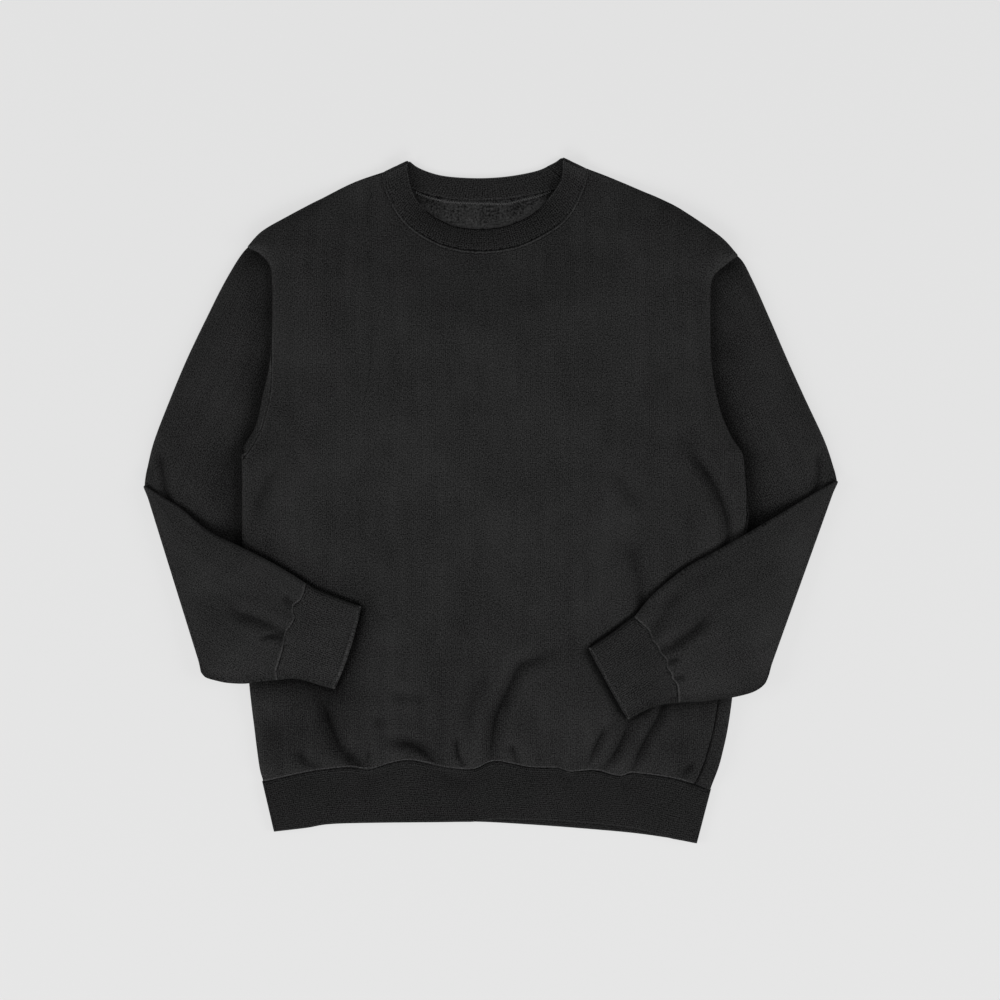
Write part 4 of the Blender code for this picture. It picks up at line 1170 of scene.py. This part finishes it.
def make_hem():
    seam, edge = (spaced(table, 300) for table in (HEM_SEAM, HEM_EDGE))
    xs, shorts = zip(*HEM_SHORT)
    rings, charts, wear_and_shading_rows = [], [], []
    for from_seam in graded(HEM_HEIGHT + HEM_GAP, 3.0) - HEM_GAP:
        down = from_seam / HEM_HEIGHT
        line = seam * (1 - down) + edge * down
        run = arc_lengths(line)
        across, half = tube_columns(run[-1], 130, HEM_RADIUS)
        plan = np.column_stack([np.interp(across, run, column) for column in line.T])
        plan[:, 1] += np.where(half > 0, np.interp(plan[:, 0], xs, shorts), 0) * down
        lift = relief(plan, HEM_CREASES) + 0.5 * ripple(*plan.T, 60) + 0.8 * math.sin(math.pi * down)
        lift = lift * smoothstep(from_seam / 4) - 1.3 * hump(from_seam, 1.6)
        level = HEM_MIDDLE + half + np.clip(half / HEM_RADIUS, 0, 1) * lift
        rings.append(np.column_stack([plan, level]))
        charts.append(np.column_stack([arc_lengths(plan), np.full(len(plan), from_seam)]))
        wear_and_shading_rows.append(np.full(len(plan), 0.35 * hump(HEM_HEIGHT - from_seam, 1.2)))
    return lay_rib("hem_rib", rings, charts, wear_and_shading_rows, RIB_HEM)


hem = make_hem()

# %% [markdown]
# ## Collar
# The collar is a ring of doubled ribbing. Laid flat, it turns over at both sides of the neck, and its front
# lies on its back. The ends of the band are joined at the rear, where a faint line crosses the ribs.

# %% Collar
COLLAR_WALL = 2.8
COLLAR_WIDTH = 26
COLLAR_LOW, COLLAR_HIGH = 1.5, 5.5
RIB_JOIN = 0.885  # share of the way along the rear
TIP_INWARD = 2.2
TIP_XS = (-113, 103)


def collar_stations():
    """Round the ring: seam point, edge point, height, and how much the band faces up (1) or down (-1)."""
    front = [spaced(table, 150) for table in (NECK_SEAM_FRONT, NECK_EDGE_FRONT)]
    shares = np.sort(np.concatenate([np.linspace(0, 1, 100), RIB_JOIN + np.arange(-4, 5) * 0.0028]))
    rear = [point_at(curve(table), shares)[::-1] for table in (NECK_SEAM_BACK, NECK_EDGE_BACK)]
    radius = (COLLAR_HIGH - COLLAR_LOW) / 2
    turns = np.linspace(0, math.pi, 13)
    stations = [(seam, edge, COLLAR_HIGH, 1.0) for seam, edge in zip(*(line[1:-1] for line in front))]
    for end, angles in ((-1, turns), (0, turns[::-1])):
        seam, edge = front[0][end], front[1][end]
        along = unit(edge - seam)
        out = np.array([-along[1], along[0]]) * (1 if end == 0 else -1)
        for angle in angles:
            shift = out * (0.8 * math.sin(angle) - TIP_INWARD)
            level = COLLAR_LOW + radius + radius * math.cos(angle)
            stations.append((seam + shift, edge + shift, level, math.cos(angle)))
        if end == -1:
            stations += [(seam, edge, COLLAR_LOW, -1.0) for seam, edge in zip(*(line[1:-1] for line in rear))]
    return [*stations, stations[0]]


def make_collar():
    stations = collar_stations()
    seams, edges, levels, facings = (np.array(column) for column in zip(*stations))
    up, down = np.maximum(facings, 0), np.maximum(-facings, 0)
    steps = np.linalg.norm(np.diff(edges, axis=0), axis=1) + np.abs(np.diff(levels))
    run = np.concatenate([[0], np.cumsum(steps)])
    from_join = np.linalg.norm(edges - point_at(curve(NECK_EDGE_BACK), RIB_JOIN), axis=1)
    tips = np.min([np.abs(seams[:, 0] - x) for x in TIP_XS], axis=0)
    widths = np.linalg.norm(edges - seams, axis=1)
    across = (edges - seams) / widths[:, None]

    tone = down * (0.07 - 0.16 * hump(from_join, 0.9) + 0.1 * hump(from_join - 1.7, 0.7))
    # Painted light: the band is made much paler where it turns over at the tips, where it faces away from the
    # lamps.
    tone += 1.4 * (1 - facings**2) - 0.05 * up
    # The front is also paler near its tips and towards its top ends.
    tone += up * (0.15 * (1 - smoothstep((tips - 8) / 25)) + 0.25 * smoothstep((seams[:, 1] - 335) / 15))
    # The free edge is worn pale on the back and near the tips; along the rest of the front's free edge a dark
    # line of painted shade is laid.
    free_edge_wear_and_shade = np.where(facings > 0, 0.3 - 0.9 * smoothstep((tips - 20) / 20), 0.3)
    seam_dark = 0.15 + 0.5 * up * smoothstep((tips - 10) / 50)

    start = np.where(facings > 0, 0.35, 0.35 + 0.95 * facings)
    past = 0.2 * up + 1.0 * down + 1.6 * hump(tips, 6)
    places, chart, wear_and_shading = [], [], []
    for share in graded(COLLAR_WIDTH, 2.0, fine=(0.5, 1.1, 1.8, 2.8)) / COLLAR_WIDTH:
        from_seam = share * COLLAR_WIDTH
        reach = start + share * (widths - 0.6 + past - start)
        swell = 1.4 * math.sin(math.pi * share) - 1.6 * hump(reach, 1.8)
        height = levels + up * (1.6 * hump(tips, 30) + 0.6 * share**2 + swell)
        height += 0.3 * down * hump(from_join, 0.9)
        places.append(np.column_stack([seams + across * reach[:, None], height]))
        chart.append(np.column_stack([run, np.full(len(run), from_seam)]))
        rim = free_edge_wear_and_shade * hump(COLLAR_WIDTH - from_seam, 1.2) + 0.5 * down * hump(from_seam - 1.4, 0.6)
        wear_and_shading.append(tone + rim - seam_dark * hump(from_seam, 1.4))
    return lay_rib("neck_rib", places, chart, wear_and_shading, RIB_COLLAR, COLLAR_WALL, 1.1)


collar = make_collar()

# %% [markdown]
# ## Stitching
# The neck, the hem and the left armhole have a row of stitches beside the seam, and a paler overlocked
# binding covers the seam inside the back neck. A stitch is a tiny bead of thread, dropped onto the cloth
# from above so that it follows every crease.

# %% Stitching
STEEPEST = 1.5  # a stitch with more height than this between its ends would hang over an edge
DROP_FROM = 200


def surface_below(pieces):
    """A function that finds the height of the top cloth under a point, in millimetres."""
    graph = bpy.context.evaluated_depsgraph_get()
    trees = [BVHTree.FromObject(piece, graph) for piece in pieces]

    def height(x, y):
        start = Vector((x + CENTRING[0], y + CENTRING[1], DROP_FROM)) * MM
        hits = [tree.ray_cast(start, Vector((0, 0, -1)))[0] for tree in trees]
        return max((hit.z / MM for hit in hits if hit), default=0.0)

    return height


def offset_line(table, distance):
    """A seam moved sideways, to the left of its direction."""
    line = spaced(table, 160)
    along = np.gradient(line, axis=0)
    side = np.column_stack([-along[:, 1], along[:, 0]]) / np.linalg.norm(along, axis=1, keepdims=True)
    return line + side * distance


def sew(
    name, line, height, pitch=2.0, length=1.3, thick=0.6, sink=0.1, slot="fleece", across=0.0, finish=THREAD
):
    """A row of stitches along a plan line, or a zigzag if it goes across the line."""
    run = arc_lengths(line)
    bm = bmesh.new()
    for k in range(int(run[-1] / pitch)):
        ends = np.array([point_at(line, ((k + part) * pitch) / run[-1]) for part in (0.15, 0.85)])
        step = ends[1] - ends[0]
        sideways = np.outer((-1, 1) if k % 2 else (1, -1), (-step[1], step[0]))
        ends += sideways / np.linalg.norm(step) * across / 2
        first, last = (np.array([*end, height(*end)]) for end in ends)
        if abs(first[2] - last[2]) > STEEPEST:
            continue
        length = max(length, 0.9 * np.linalg.norm(last - first))
        middle = ((first + last) / 2 + CENTRING + (0, 0, thick / 2 - sink)) * MM
        turn = Vector(last - first).to_track_quat("X", "Z").to_matrix().to_4x4()
        scale = Matrix.Diagonal((length / 2 * MM, thick / 2 * MM, thick / 2 * MM, 1))
        matrix = Matrix.Translation(middle) @ turn @ scale
        bmesh.ops.create_uvsphere(bm, u_segments=6, v_segments=4, radius=1, matrix=matrix)
    for face in bm.faces:
        face.smooth = True
    piece = new_object(name, bm, [finish])
    piece.data.uv_layers.new(name="cloth")
    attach(piece, "root")
    print(f"{name}: {len(piece.data.polygons)} faces")
    return piece


top_of_cloth = surface_below([front, back, hem, collar, *sleeves.values(), *cuffs.values()])
BINDING = (
    (-80, 331), (-71, 327), (-52, 322), (-35, 320), (-1, 319), (17, 319), (34, 323), (51, 327), (66, 332),
)
neck_row = sew("neck_stitches", offset_line(NECK_SEAM_FRONT, 4.0)[30:-30], top_of_cloth)
hem_row = sew("hem_stitches", offset_line(HEM_SEAM, -4.2)[3:-3], top_of_cloth)
armhole_row = sew("armhole_stitches_left", offset_line(ARMHOLE_SEAM_LEFT[4:11], 1.6), top_of_cloth)
zigzag = {"pitch": 1.3, "across": 3.2, "thick": 0.7, "sink": 0.0, "finish": OVERLOCK}
overlock = sew("neck_overlock", offset_line(BINDING, 0.0), top_of_cloth, **zigzag)

# %% [markdown]
# ## The cut of each piece
# The table lists the flat cut of each piece as a sheet of cloth: its width and length, all round where it is
# a tube, the cut's area where it isn't a rectangle, what it rests on and the pieces that go with it.

# %% The cut of each piece
CUTS = {
    back: ((0.545, 0.665), 0.307, [floor, *sleeves.values()], [overlock]),
    front: ((0.545, 0.657), 0.317, [back, *sleeves.values()], [armhole_row]),
    sleeves[-1]: ((0.414, 0.527), 0.138, [floor, front], []),
    sleeves[1]: ((0.422, 0.542), 0.146, [floor, front], []),
    cuffs[-1]: ((0.226, 0.060), None, [front], []),
    cuffs[1]: ((0.218, 0.060), None, [front], []),
    hem: ((0.940, 0.062), None, [floor], [hem_row]),
    collar: ((0.470, 0.026), None, [floor], [neck_row]),
}
for piece, (flat, area, rests_on, with_pieces) in CUTS.items():
    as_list(rests_on)
    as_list(with_pieces)
print("sheets:", [piece.name for piece in CUTS])
